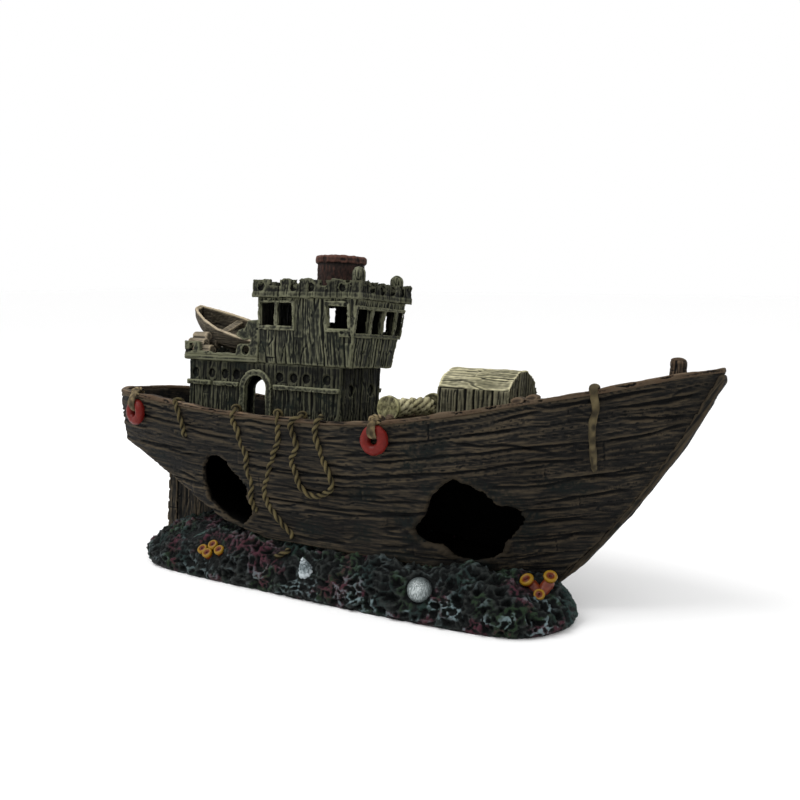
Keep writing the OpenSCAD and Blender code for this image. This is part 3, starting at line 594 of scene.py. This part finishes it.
def carve_stem(p, n):
    """A smooth worn band with its grain running up the stem."""
    x, y, z = p.T
    along, across = 0.576 * x + 0.817 * z, 0.817 * x - 0.576 * z
    q = np.stack([along, across, y], 1)
    out = 0.5 * (ridged(q, (20, 1.5, 1.5), 301) - 0.5) + 1.3 * uneven(q, (12, 6, 6), 302)
    moss = step(0.6, 0.72, fbm(q, (14, 8, 8), 303))
    return np.maximum(out, -0.1), plain_layers(tone=0.35, moss=moss, flow=across * MM)


def carve_rail(p, n):
    """The gunwale: planked like the hull, with a paler top towards the stern in patches: painted highlight from
    the light above and from the lamp at the stern end, mixed with wear.
    """
    x, y, z = p.T
    side = np.where(y < 0, 0.0, 50.0)
    q = np.stack([x, side, z - column(x, 5)], 1)
    out = 0.42 * (ridged(q, (15, 1, 1.2), 304) - 0.5) + 1.5 * uneven(q, (9, 1, 4), 306)
    out = out - 1.1 * step(0.66, 0.8, noise(q, (7, 1, 3), 307)) * (n[:, 2] < 0.7)
    # paler top: painted highlight on faces that look up, strongest towards the stern, broken into patches by
    # noise
    wear_and_top_light = step(0.1, 0.7, n[:, 2]) * (0.35 + 0.65 * step(60, -20, x))
    tone = -0.05 + 2.4 * wear_and_top_light * noise(q, (16, 1, 9), 308)
    return np.where(n[:, 2] < -0.2, np.maximum(out, 0.35), out), plain_layers(tone=tone)


def settable(carve):
    """A carving that takes its settings first, and then points and normals."""
    return lambda *settings, **named: lambda p, n: carve(p, n, *settings, **named)


@settable
def carve_parapet(p, n, seed):
    """Upright boards whose tops are broken off unevenly."""
    out, layers = carve_upright(seed, 0.4, 1.3, 3, 6, 0.6, closed=False, base_tone=-0.4)(p, n)
    low, top = p[:, 2].min(), p[:, 2].max()
    high = step(top - 6.5, top - 2, p[:, 2]) * step(0.1, 0.6, n[:, 2])
    chips = fbm(p, (6, 6, 50), seed + 20)
    ledge = step(low + 3.4, low + 2.4, p[:, 2]) * step(0.3, 0.7, np.abs(n[:, 0]) + np.abs(n[:, 1]))
    out = out + 1.3 * uneven(p, 3.2, seed + 21) - 3.4 * high * step(0.35, 0.6, chips)
    layers["crack"] = layers["crack"] * (1 - ledge)
    layers["tone"] = layers["tone"] + 0.35 * ledge
    return out * (1 - 0.35 * ledge) + 0.45 * ledge - 0.15, layers


@settable
def carve_level(p, n, seed, amount=0.3):
    """Grain that runs along the boat on any face, with broad dents."""
    grain = ridged(p, (16, 1.1, 1.1), seed) - 0.5
    fine = ridged(p, (7, 0.55, 0.55), seed + 1) - 0.5
    out = amount * (1.2 * grain + 0.6 * fine) + 1.6 * amount * uneven(p, (8, 6, 4), seed + 2)
    return out, plain_layers(tone=0.5 + 0.5 * (noise(p, (12, 8, 6), seed + 3) - 0.5))


@settable
def carve_upright(p, n, seed, amount=0.42, across=1.25, low=4.5, high=8.5, deep=0.7, level_tops=True,
                  closed=True, flat_from=0.7, top_tone=0.0, base_tone=0.5, front_tone=0.0):
    """Upright boards on the walls, boards along the boat on flat tops, and painted shade on the inward faces
    where it is closed.
    """
    x, y, z = p.T
    wall = np.where(np.abs(n[:, 1]) >= np.abs(n[:, 0]), x, y + 300)
    flat = (np.abs(n[:, 2]) > flat_from) if level_tops else np.zeros(len(p), bool)
    across_c, along_c = np.where(flat, y, wall), np.where(flat, x, z)
    across_c = across_c + 1.2 * uneven(p, 14, seed + 9)
    k, gaps, lift, tone = seams(across_c, along_c, seed, low, high, deep, 16)
    out = 0.35 * lift + wood_relief(along_c, across_c, k, seed + 3, across, 13, amount) - gaps
    out = out + 0.9 * uneven(p, 6, seed + 4)
    centre_x = (x.min() + x.max()) / 2
    # inward faces look into the middle of the box; where it is closed they get painted shade
    inward = (y * n[:, 1] / 20 + (x - centre_x) * n[:, 0] / 45) < -0.2
    # top_tone lightens faces that look up; on the hatch it stands for paler paint on the top together with
    # painted highlight from the light above
    tone = (base_tone + 0.7 * (tone - 0.5) + top_tone * step(0.25, 0.5, n[:, 2])
            + front_tone * step(0.4, 0.7, n[:, 0]))
    return out, plain_layers(tone=tone, moss=step(0.62, 0.75, fbm(p, (10, 10, 8), seed + 6)),
                             inside=inward if closed else 0, crack=np.clip(0.85 * gaps / deep, 0, 1),
                             flow=across_c * MM)


def toned(carve, change):
    """The same carving, with change(tone, p, n) as its tone."""
    def carve_toned(p, n):
        out, layers = carve(p, n)
        return out, {**layers, "tone": change(layers["tone"], p, n)}
    return carve_toned


def from_middle(p, node, margin=0.0):
    """Distance from the middle of a CAD node, in half-sizes of its box with a margin."""
    lo, hi = (np.array(corner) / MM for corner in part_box(node))
    return np.linalg.norm((p - (lo + hi) / 2) / ((hi - lo) / 2 + margin), axis=1)


def proud_of_reef(p):
    """Close to 1 where a small piece stands on the reef, so that the reef stays clear of it."""
    return np.max([np.exp(-from_middle(p, node, 2.2) ** 4) for node in ON_REEF], axis=0)


def round_pearl(p):
    """Close to 1 round the front of the pearl, where the reef falls back from it."""
    return step(1.45, 1.1, from_middle(p, "reef_pearl"))


def by_plug(p):
    """Close to 1 in the bubbler's well and bore, which stay as cleanly moulded as in the CAD."""
    x, y, z = p.T
    bore = step(11, 9, np.hypot(x - PLUG_X, z - PLUG_Z)) * step(12, 15, y)
    well = step(15.5, 14.5, np.maximum(np.abs(x - PLUG_X) * 1.08, np.abs(y - WELL_Y)))
    return np.maximum(bore, well)


def carve_reef(p, n):
    """Eroded reef: lumps, ragged pits with thin walls between them, and sharp crumbs.

    Its moss layer takes the white paint, and its tone layer is the blue-green stone at the bow end.
    """
    z = p[:, 2]
    lumps = uneven(p, (24, 20, 13), 61)
    q = warp(warp(p, 9, 7.0, 62), 2.6, 2.2, 64)
    first, second, which = cells(q, (6.6, 6.2, 5.4), 63)
    wall = np.exp(-((second - first) / 0.17) ** 2)
    pit = step(0.62, 0.08, first) * step(0.25, 0.6, which)
    crest = ridged(warp(p, 3, 2.0, 72), (4.6, 4.6, 3.4), 73) ** 3
    small, _, kind = cells(warp(p, 1.8, 1.4, 68), (2.5, 2.5, 2.2), 67)
    hole = step(0.5, 0.1, small) * (kind > 0.55)
    crumbs = uneven(p, 1.7, 66, 2)
    # a smoother layered stone at the bow end
    end = step(87, 92, 0.866 * p[:, 0] + 0.5 * p[:, 1])
    bedding = 0.5 * p[:, 0] - 0.866 * p[:, 1] + 0.8 * z
    layered = ridged(np.stack([bedding, 0 * z, 0 * z], 1), (2.6, 1, 1), 79) - 0.5
    out = (1.3 * wall - 2.8 * pit + 1.5 * crest - 1.2 * hole + 2.0 * crumbs - 0.5) * (1 - 0.7 * end)
    out = out + 4.6 * lumps + 1.4 * layered * end
    proud = proud_of_reef(p + SHORE)
    out = (out * (1 - proud) - 0.5 * proud - 1.2 * round_pearl(p + SHORE)) * (1 - by_plug(p))
    moss = step(17, 8, z + 5 * uneven(p, 22, 74)) * (0.25 + 0.75 * step(-60, 40, p[:, 0]))
    pitted = np.clip(pit + 0.7 * hole, 0, 1) * (1 - 0.7 * end)
    # inside marks the faces that look down, which the paint gives one flat dark colour as painted shade
    layers = plain_layers(tone=0.85 * end, moss=moss, inside=n[:, 2] < -0.7, pit=pitted)
    # the underside stays flat
    return np.where(z < 0.6, np.minimum(0, out) * 0.2, out * step(0.4, 3.0, z)), layers


@settable
def carve_frame(p, n, seed):
    out = uneven(p, 4.6, seed) + 0.5 * uneven(p, 1.5, seed + 1)
    return out - 0.6 * step(0.78, 0.9, noise(p, 2.6, seed + 2)), plain_layers()


def carve_funnel(p, n):
    """Rusty pipe with a thick, flaked rim."""
    high = step(p[:, 2].max() - 4.2, p[:, 2].max() - 3.2, p[:, 2])
    scale = uneven(p, (2.4, 2.4, 5), 314)
    flake = step(0.55, 0.72, noise(p, (3.4, 3.4, 3.0), 315))
    tone = 0.3 + 0.9 * high * noise(p, (4, 4, 9), 316)
    return 1.1 * scale + high * (0.4 - 0.45 * flake), plain_layers(tone=tone)


def carve_pearl(p, n):
    """A ball of dry-brushed silver paint, lighter on the faces that look to the front and darker round the rim:
    partly dry-brushing, partly painted highlight and painted shade.
    """
    # front: how squarely each face looks to the front; the tone from it is painted highlight in front and
    # painted shade round the rim, over the dry-brushing
    front = n @ unit(np.array([0.30, -0.90, 0.22]))
    return 0.3 * uneven(p, 2, 332), plain_layers(tone=0.43 + 0.30 * (front - 0.8))


def carve_branch(p, n):
    """A thick, dripping coral stem."""
    return 0.75 + 1.5 * uneven(p, (3.2, 3.2, 5), 331), plain_layers()


@settable
def carve_smooth(p, n, seed, amount, size):
    return amount * 2 * uneven(p, size, seed), plain_layers()


# ---- trim
def side_at(x, z):
    """Half-beam at one place on the side, and half-beam and height of the rail above it."""
    return float(beam(np.array([x]), np.array([z]))[0]), float(column(x, 4)), float(column(x, 5))


def over_rail(x):
    """The part of a rope that hooks over the rail, from inside the boat."""
    half, top = float(column(x, 4)), float(column(x, 5))
    return [(x, -half + 5.4, top - 2.5), (x, -half + 3.6, top + 1.2), (x, -half - 0.6, top + 1.2)]


def side_points(route, lift):
    return [(x, -side_at(x, z)[0] - lift, z) for x, z in route]


def made_piece(name, parts, material, nodes, aboard=True):
    mesh, p, relief = joined(parts)
    p = from_ship(p) if aboard else p + SHORE
    add_piece(name, mesh, p, plain_layers(relief=relief), material, nodes)


def make_ropes(material):
    for i, (name, route) in enumerate(ROPES.items()):
        points = over_rail(route[0][0]) + side_points(route, 0.6 * ROPE_R)
        strands = twisted(points, ROPE_R, ROPE_PITCH, wobble=2.6, seed=80 + i)
        made_piece(name + "_twist", strands, material, [name])
    made_piece("rope_end_twist", twisted(ROPE_END, ROPE_R, 7.5, seed=85), material, ["rope_end"], aboard=False)


def make_lashings(material):
    """A flat cord through each ring and a knot on the rail above it."""
    parts = []
    for i, (x, z) in enumerate(RINGS):
        half, rail, top = side_at(x, z)
        line = [(x + 0.3, -half - 1.5, z + 1.2), (x + 0.3, -half - 4.4, z + 1.6),
                (x + 0.2, -half - 6.1, z + 4.6), (x, -half - 5.0, z + 7.6), (x - 0.4, -rail - 1.2, top + 0.6),
                (x - 1, -rail + 3.4, top + 1.4), (x - 1.4, -rail + 5.6, top - 2)]
        parts.append(band(line, 2.0, 0.75, (1, 0, 0), 90 + i))
        knot = [(x + 2.6, -rail - 0.6, top + 0.6), (x, -rail - 1.6, top - 0.6),
                (x - 2.8, -rail - 0.4, top + 0.9), (x - 1, -rail + 1.6, top + 2.0),
                (x + 2.2, -rail + 2, top + 1.6)]
        parts += twisted(knot, 1.1, 4.5, seed=93 + i)
    made_piece("ring_lashings_twist", parts, material, ["ring_lashings"])


def band(points, half_width, half_thick, across, seed):
    """A lumpy flat strap along the points, as wide as half_width on each side in the given direction."""
    line, run = smooth_line(points, 0.4)
    t = unit(np.gradient(line, axis=0))
    u = unit(np.cross(np.cross(t, across), t))
    v = np.cross(t, u)
    ends = np.clip(np.minimum(run, run[-1] - run) / 1.5, 0.15, 1) ** 0.5
    wide = half_width * (0.8 + 0.45 * along_noise(run, 3.5, 0, seed)) * ends
    thick = half_thick * (0.8 + 0.5 * along_noise(run, 2.5, 0, seed + 40))
    sides = 14
    a = 2 * math.pi * np.arange(sides) / sides
    p = (line[:, None] + (wide[:, None] * np.cos(a))[:, :, None] * u[:, None]
         + (thick[:, None] * np.sin(a))[:, :, None] * v[:, None]).reshape(-1, 3)
    p = warp(p, 1.8, 0.35, seed, 1, 3)
    return p, ring_faces(len(line), sides), 0.25 + 0.6 * noise(p, (1.5, 1.5, 3), seed + 50)


def make_strap(material):
    route = [(x + 0.7 * math.sin(2.1 * i), z) for i, (x, z) in enumerate(STRAP)]
    parts = [band(over_rail(STRAP[0][0]) + side_points(route, 0.7), 1.65, 1.0, (1, 0, 0), 95)]
    made_piece("bow_strap_cast", parts, material, ["bow_strap"])


def make_winch_drum(material):
    lo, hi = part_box("winch_drum")
    ends = to_ship(np.array([[lo.x, lo.y, hi.z], [hi.x, hi.y, lo.z]]) / MM)
    x, z = ends[:, 0].mean(), 91.3
    half, turns, core_r = 21.6, 9, 2.5
    a = np.linspace(0, 2 * math.pi * turns, turns * 28)
    y = np.linspace(-half + 1.6, half - 1.6, len(a))
    coil = np.stack([x + core_r * np.cos(a), y, z + core_r * np.sin(a)], 1)
    core = np.stack([np.full(40, x), np.linspace(-half, half, 40), np.full(40, z)], 1)
    p, faces = tube(core, core_r, 16)
    parts = [(p, faces, 0.1)] + twisted(coil, 2.0, 5.5, gap=0.55, wobble=0.9, seed=97)
    made_piece("winch_drum_coil", parts, material, ["winch_drum"])


def lathe(profile, sides, at, lean):
    """A turned shape from radius, height and relief, leaned about x, y and z in degrees like the CAD."""
    a = 2 * math.pi * np.arange(sides) / sides
    p = np.array([[r * math.cos(t), r * math.sin(t), z] for r, z, _ in profile for t in a])
    value = np.repeat([v for _, _, v in profile], sides)
    for axis, angle in enumerate(lean):
        c, s = math.cos(math.radians(angle)), math.sin(math.radians(angle))
        i, j = [(1, 2), (2, 0), (0, 1)][axis]
        p[:, i], p[:, j] = c * p[:, i] - s * p[:, j], s * p[:, i] + c * p[:, j]
    return p + np.array(at), ring_faces(len(profile), sides), value


def cup_profile(r, h):
    """Radius, height and relief up the outside, over the lip and down into the mouth."""
    rows = [(0.72, 0.1, 0.2), (0.86, 0.45, 0.45), (1, 0.7, 0.7), (1.04, 0.88, 1), (0.95, 1.02, 1),
            (0.8, 1.08, 0.95), (0.64, 1.04, 0.8), (0.52, 0.94, 0.55), (0.44, 0.94, 0.45), (0.36, 0.98, 0.5),
            (0.26, 0.96, 0.3), (0.16, 0.84, 0.1), (0.04, 0.78, 0.0)]
    return [(0.62 * r, -2, 0.05)] + [(a * r, b * h, relief) for a, b, relief in rows]


def make_cups(name, cups, material, node):
    parts = []
    for at, r, h, lean in cups:
        p, faces, value = lathe(cup_profile(r, h), 28, at, lean)
        parts.append((warp(p, 2, 0.25, 100, 1, 3), faces, value))
    made_piece(name, parts, material, [node], aboard=False)


def make_snail(material):
    """A little turret shell: a tube that winds up a cone and thins as it goes."""
    a = np.linspace(0, 2 * math.pi * 5.2, 240)
    t = a / a[-1]
    r = 2.6 * (1 - t) ** 0.9 + 0.1
    line = np.stack([0.55 * r * np.cos(a) * 1.4, 0.55 * r * np.sin(a) * 1.4, -0.6 + 11.4 * t ** 0.82], 1)
    p, faces = tube(line, 0.25 + 1.15 * r * 0.78 * (0.9 + 0.16 * np.cos(9 * a)), 14)
    p = warp(p, 1.6, 0.3, 120, 1, 3)
    p = turned(p, SNAIL_LEAN) + SNAIL_AT
    away = np.linalg.norm(p - p.mean(0), axis=1)
    made_piece("sea_snail_shell", [(p, faces, np.clip(away / 5, 0, 1))], material, ["sea_snail"],
               aboard=False)


# ---- colours
def reef_material():
    """Dark rock with crumbs, dry-brushed in patches of olive, blue-green, pink and white."""
    m = Paint("reef_painted")
    crumb = m.noise(1.1, 7, 0.75)
    coarse = m.noise(3.2, 4, 0.6)
    level = m.math("ADD", m.layer("relief"), m.swing(crumb, 1.35))
    level = m.math("ADD", level, m.swing(coarse, 0.5), clamp=True)
    colour = m.ramp(level, [(0.30, (0.0016, 0.0024, 0.0025)), (0.58, (0.0050, 0.0068, 0.0066)),
                            (0.95, (0.024, 0.028, 0.026))])
    brush = m.range(level, 0.42, 0.70)
    crest = m.times(m.range(level, 0.60, 0.85), m.range(m.layer("moss"), 0, 1, 0.2, 1.0))
    for size, low, high, paint, amount, where_high in (
            (17.0, 0.51, 0.58, (0.016, 0.034, 0.014), 0.85, brush),
            (23.0, 0.54, 0.61, (0.0105, 0.0245, 0.023), 0.8, brush),
            (14.0, 0.54, 0.61, (0.062, 0.016, 0.026), 0.9, brush),
            (9.0, 0.50, 0.61, (0.185, 0.25, 0.265), 0.9, crest)):
        where = m.range(m.noise(size, 3, 0.55), low, high)
        mask = m.times(m.times(where, where_high), amount)
        colour = m.mix(mask, colour, paint)
    colour = m.mix(m.times(m.layer("tone"), brush), colour, (0.019, 0.043, 0.039))
    colour = m.mix(m.times(m.layer("pit"), 0.75), colour, (0.002, 0.003, 0.003))
    # painted shade: faces that look down get one flat dark colour
    colour = m.mix(m.layer("inside"), colour, (0.006, 0.007, 0.007))
    m.set(Base_Color=colour, Roughness=m.range(crumb, 0.3, 0.7, 0.4, 0.7), Specular_IOR_Level=0.14)
    m.bump(m.math("ADD", crumb, m.times(coarse, 1.4)), 0.9, 1.3)
    return m.mat


def glossy(name, dark, mid, light, size=2.0, rough=(0.32, 0.5), spread=(0.1, 0.5, 0.85), rub=0.4, bump=0.3,
           shine=0.35):
    """Smoother paint on the rings, corals, pearl and shell; settings are as in resin()."""
    m = Paint(name)
    grain = m.noise(size, 5, 0.65)
    height = m.math("ADD", m.layer("relief"), m.math("SUBTRACT", m.layer("tone"), 0.5))
    level = m.math("ADD", height, m.swing(grain, rub), clamp=True)
    m.set(Base_Color=m.ramp(level, list(zip(spread, (dark, mid, light)))),
          Roughness=m.range(grain, 0.3, 0.7, *rough), Specular_IOR_Level=shine)
    m.bump(grain, bump, 0.3)
    return m.mat


def moulded(name, colour, size, rough, bump):
    """Plain moulded plastic, stone or rubber for the bubbler."""
    m = Paint(name)
    grain = m.noise(size, 4)
    speck = m.noise(size * 5, 3)
    lighter = tuple(min(1, 1.7 * c + 0.01) for c in colour)
    m.set(Base_Color=m.mix(m.range(speck, 0.4, 0.65, 0, 0.6), colour, lighter),
          Roughness=m.range(grain, 0.3, 0.7, rough - 0.1, rough + 0.15))
    m.bump(grain, bump, 0.25)
    return m.mat


# Paints: what makes them, its first settings in order, and the others by name
PAINTS = {
    "hull_wood": (resin, (0.0012, 0.0014, 0.0015), (0.008, 0.0075, 0.0066), (0.053, 0.041, 0.026),
        (0.6, 0.62, 0.64), (14, 5, 0.7),
        dict(rub=1.3, moss=(0.003, 0.005, 0.0045), flow=True, gain=0.8, spread=(0.22, 0.49, 0.82))),
    "rail_wood": (resin, (0.002, 0.002, 0.002), (0.02, 0.0155, 0.0115), (0.105, 0.076, 0.049),
        (0.75, 0.58, 0.5), (10, 2, 1.2), {}),
    "house_wood": (resin, (0.002, 0.0025, 0.002), (0.015, 0.016, 0.0122), (0.112, 0.112, 0.071),
        (0.64, 0.68, 0.62), (0.75, 0.75, 9),
        dict(rub=0.6, moss=(0.006, 0.009, 0.007), spread=(0.26, 0.5, 0.77))),
    "trim_wood": (resin, (0.003, 0.0035, 0.0025), (0.02, 0.021, 0.0155), (0.145, 0.145, 0.094),
        (0.72, 0.75, 0.64), (3, 1.5, 1.5), dict(rub=0.5)),
    "hatch_wood": (resin, (0.003, 0.003, 0.002), (0.036, 0.034, 0.022), (0.14, 0.13, 0.084),
        (0.88, 0.88, 0.8), (8, 1.2, 1.2), {}),
    "flange_paint": (resin, (0.006, 0.006, 0.004), (0.085, 0.078, 0.045), (0.36, 0.34, 0.19),
        (0.7, 0.7, 0.52), (1.5, 1.5, 3), dict(rub=0.8)),
    "deck_wood": (resin, (0.003, 0.003, 0.003), (0.024, 0.02, 0.014), (0.075, 0.06, 0.036),
        (0.7, 0.66, 0.6), (12, 1.2, 1.2), {}),
    "dinghy_wood": (resin, (0.004, 0.004, 0.003), (0.086, 0.074, 0.056), (0.3, 0.25, 0.178),
        (0.74, 0.72, 0.6), (7, 1, 1), dict(rub=0.5)),
    "funnel_rust": (resin, (0.003, 0.002, 0.002), (0.0165, 0.011, 0.0092), (0.085, 0.04, 0.029),
        (0.7, 0.6, 0.6), (1.6, 1.6, 5), {}),
    "rope_olive": (resin, (0.002, 0.002, 0.001), (0.025, 0.021, 0.011), (0.098, 0.079, 0.036),
        (0.75, 0.7, 0.6), (1.2, 1.2, 1.2), dict(rub=0.4, spread=(0.05, 0.45, 0.95))),
    "strap_tan": (resin, (0.006, 0.005, 0.003), (0.038, 0.031, 0.018), (0.105, 0.084, 0.044),
        (0.8, 0.75, 0.65), (2.5, 2.5, 2.5), {}),
    "lashing_tan": (resin, (0.008, 0.007, 0.004), (0.06, 0.046, 0.026), (0.2, 0.155, 0.085),
        (0.8, 0.72, 0.6), (1.5, 1.5, 1.5), dict(rub=0.5)),
    "coil_pale": (resin, (0.005, 0.005, 0.003), (0.112, 0.099, 0.055), (0.54, 0.5, 0.31),
        (0.8, 0.78, 0.62), (1.2, 1.2, 1.2), dict(rub=0.4, spread=(0.05, 0.45, 0.95))),
    "log_paint": (resin, (0.003, 0.006, 0.006), (0.017, 0.032, 0.03), (0.06, 0.092, 0.08),
        (0.7, 0.8, 0.8), (5, 1.2, 1.2), {}),
    "ring_red": (glossy, (0.013, 0.0024, 0.0015), (0.094, 0.0062, 0.0042), (0.19, 0.015, 0.01),
        dict(size=3.0, rough=(0.35, 0.55), shine=0.15)),
    "coral_yellow_paint": (glossy, (0.04, 0.0045, 0.002), (0.11, 0.017, 0.003), (0.205, 0.112, 0.006),
        dict(size=1.5, rough=(0.25, 0.45), spread=(0.2, 0.55, 0.88), rub=0.5, shine=0.2)),
    "coral_orange_paint": (glossy, (0.026, 0.003, 0.0015), (0.094, 0.0095, 0.003), (0.18, 0.04, 0.006), {}),
    "pearl_paint": (glossy, (0.016, 0.02, 0.02), (0.145, 0.17, 0.17), (0.6, 0.65, 0.65),
        dict(size=(0.5, 0.5, 2.6), rough=(0.28, 0.5), spread=(0.22, 0.46, 0.68), rub=0.9, bump=0.2)),
    "shell_paint": (glossy, (0.008, 0.012, 0.014), (0.11, 0.14, 0.15), (0.4, 0.45, 0.47),
        dict(size=1.0, rough=(0.4, 0.6), spread=(0.15, 0.5, 0.9), rub=1.0))}
# The deckhouse is darker all over and darker still up under the decks, as painted shade from the decks above;
# the dinghy is lighter on faces that look up, as painted highlight, and darker on the others, as painted shade;
# and its logs are darker in under it, as painted shade
carve_deckhouse = toned(carve_upright(305, base_tone=0.0),
                        lambda tone, p, n: tone - 0.75 * step(97, 101, p[:, 2]))
# painted light: faces of the dinghy that look up are lighter, as painted highlight, and the others darker, as
# painted shade
carve_dinghy = toned(carve_level(315, 0.2), lambda tone, p, n: tone + 1.7 * step(-0.1, 0.5, n[:, 2]) - 0.65)
# painted shade: the logs are darker from y = -8 mm towards port, in under the dinghy
carve_logs = toned(carve_level(317, 0.3), lambda tone, p, n: tone - 1.1 * step(-10, -8, p[:, 1]))
# Pieces of the boat that are recut: node, voxel size, carving, paint, slot, and depth and rounds of the relief
CASTS = [
    ("hull", 0.72, carve_hull, "hull_wood", "hull_resin", 0.42, 7),
    ("stem_post", 0.5, carve_stem, "hull_wood", "hull_resin", 0.32, 6),
    ("stern_post", 0.55, carve_upright(302, 0.45, level_tops=False, closed=False, base_tone=1.5), "hull_wood",
     "hull_resin", 0.3, 6),
    ("main_deck", 0.9, carve_upright(303, 0.25, 1.3, closed=False), "deck_wood", "deck_resin", 0.3, 5),
    ("cap_rails", 0.48, carve_rail, "rail_wood", "hull_resin", 0.36, 8),
    ("deckhouse", 0.5, carve_deckhouse, "house_wood", "cabin_resin", 0.32, 7),
    ("cabin_ledges", 0.36, carve_frame(306), "trim_wood", "cabin_trim_resin", 0.3, 8),
    ("door_frames", 0.36, carve_frame(307), "trim_wood", "cabin_trim_resin", 0.3, 8),
    ("boat_deck", 0.5, carve_level(308, 0.34), "house_wood", "cabin_resin", 0.3, 8),
    ("boat_deck_rails", 0.4, carve_frame(309), "house_wood", "cabin_resin", 0.3, 8),
    ("wheelhouse", 0.5, carve_upright(310, front_tone=0.7), "house_wood", "cabin_resin", 0.32, 7),
    ("window_frames", 0.36, carve_frame(311), "trim_wood", "cabin_trim_resin", 0.3, 8),
    ("wheelhouse_roof", 0.45, carve_parapet(312), "trim_wood", "cabin_resin", 0.36, 8),
    ("roof_posts", 0.4, carve_upright(313, 0.3, 1.2, 3, 5, 0.3, closed=False), "trim_wood", "cabin_trim_resin",
     0.3, 8),
    ("funnel", 0.42, carve_funnel, "funnel_rust", "funnel_resin", 0.35, 8),
    ("dinghy", 0.42, carve_dinghy, "dinghy_wood", "dinghy_resin", 0.3, 8),
    ("dinghy_thwart", 0.35, carve_level(316, 0.15), "dinghy_wood", "dinghy_resin", 0.3, 6),
    ("dinghy_logs", 0.4, carve_logs, "dinghy_wood", "dinghy_resin", 0.3, 7),
    ("winch_cheeks", 0.36, carve_smooth(318, 0.45, 3.4), "flange_paint", "hatch_resin", 0.3, 7),
    # the hatch top is much paler: paler paint with painted highlight from the light above
    ("cargo_hatch", 0.46, carve_upright(319, 0.4, 1.1, 3.2, 5.6, 0.9, flat_from=0.3, top_tone=5.5),
     "hatch_wood", "hatch_resin", 0.32, 7),
    ("rail_cleats", 0.36, carve_level(320, 0.3), "rail_wood", "hull_resin", 0.3, 7),
    ("bow_bollard", 0.4, carve_upright(321, 0.35, 1.1, 3, 5, 0.5, closed=False), "rail_wood", "hull_resin",
     0.3, 7)]
# The bubbler's parts: slot, and name, colour, grain size, roughness and bump of the material
BUBBLER = {
    "air_socket": ("black_plastic", "socket_plastic", (0.022, 0.024, 0.026), 0.8, 0.45, 0.15),
    "stone_holder": ("black_plastic", "plug_plastic", (0.030, 0.032, 0.036), 0.8, 0.4, 0.15),
    "air_nipple": ("black_plastic", "nipple_plastic", (0.045, 0.048, 0.052), 0.6, 0.35, 0.12),
    "air_stone": ("stone_blue", "sintered_stone", (0.17, 0.26, 0.33), 0.45, 0.85, 0.9),
    "seal_washer": ("seal_rubber", "washer_rubber", (0.02, 0.02, 0.02), 0.5, 0.7, 0.25)}


def make_reef_life(paints):
    make_cups("coral_aft_cups", AFT_CUPS, paints["coral_yellow_paint"], "coral_aft")
    make_cups("coral_fore_cup_set", FORE_CUPS, paints["coral_yellow_paint"], "coral_fore_cups")
    cast_piece("coral_fore_branch", 0.35, carve_branch, paints["coral_orange_paint"], 0.4, 7,
               aboard=False)
    cast_piece("reef_pearl", 0.4, carve_pearl, paints["pearl_paint"], 0.6, 6, aboard=False)
    make_snail(paints["shell_paint"])
    cast_piece("sunken_log", 0.36, carve_level(333, 0.35), paints["log_paint"], 0.3, 7,
               aboard=False)


def finish_bubbler():
    """Materials straight on the CAD nodes of the bubbler, which keep their shapes."""
    for node, (slot, *look) in BUBBLER.items():
        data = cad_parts[node].data
        data.materials.clear()
        data.materials.append(moulded(*look))


def build():
    paints = {name: make(name, *row, **named) for name, (make, *row, named) in PAINTS.items()}
    for node, voxel, carve, paint, slot, depth, rounds in CASTS:
        cast_piece(node, voxel, carve, paints[paint], depth, rounds)
    cast_piece("rock_base", 0.68, carve_reef, reef_material(), 0.55, 6, aboard=False)
    for node in ("life_ring_aft", "life_ring_mid"):
        cast_piece(node, 0.32, carve_smooth(330, 0.3, 3.5), paints["ring_red"], 0.5, 9)
    make_ropes(paints["rope_olive"])
    make_lashings(paints["lashing_tan"])
    make_strap(paints["strap_tan"])
    make_winch_drum(paints["coil_pale"])
    make_reef_life(paints)
    finish_bubbler()


# ---- stage
# The camera that was solved from the photo: lens in mm, place in m, turn and tilt
LENS, CAMERA_AT, TURN, TILT = 44.28, (0.25747, -0.42822, 0.160), math.radians(30), math.radians(7.53)


def make_camera():
    data = bpy.data.cameras.new("view")
    data.lens, data.sensor_width, data.clip_start, data.clip_end = LENS, 36, 0.01, 20
    cam = new_object("view", data)
    ahead = Vector((-math.sin(TURN) * math.cos(TILT), math.cos(TURN) * math.cos(TILT), -math.sin(TILT)))
    cam.location = CAMERA_AT
    cam.rotation_mode = "QUATERNION"
    cam.rotation_quaternion = ahead.to_track_quat("-Z", "Y")
    bpy.context.scene.camera = cam


def make_floor():
    mesh = bpy.data.meshes.new("floor")
    far = 6.0  # m
    mesh.from_pydata([(-far, -far, 0), (far, -far, 0), (far, far, 0), (-far, far, 0)], [], [(0, 1, 2, 3)])
    floor = new_object("floor", mesh)
    m = Paint("floor_pale")
    m.set(Base_Color=(0.99, 0.99, 0.99, 1), Roughness=0.8)
    mesh.materials.append(m.mat)


def make_light():
    """A soft lamp from the left, aimed at the middle of the boat, and an even white world."""
    data = bpy.data.lights.new("key", "AREA")
    data.shape, data.size, data.energy = "DISK", 0.7, 6
    lamp = new_object("key", data)
    lamp.location = (-0.40, -0.45, 0.9)
    lamp.rotation_euler = (Vector((0, 0, 0.07)) - lamp.location).to_track_quat("-Z", "Y").to_euler()
    world = bpy.data.worlds.new("studio")
    world.use_nodes = True
    back = world.node_tree.nodes["Background"]
    back.inputs["Color"].default_value = (1, 1, 1, 1)
    back.inputs["Strength"].default_value = 1.0
    bpy.context.scene.world = world
    bpy.context.scene.view_settings.view_transform = "Standard"


make_camera()
build()
make_floor()
make_light()
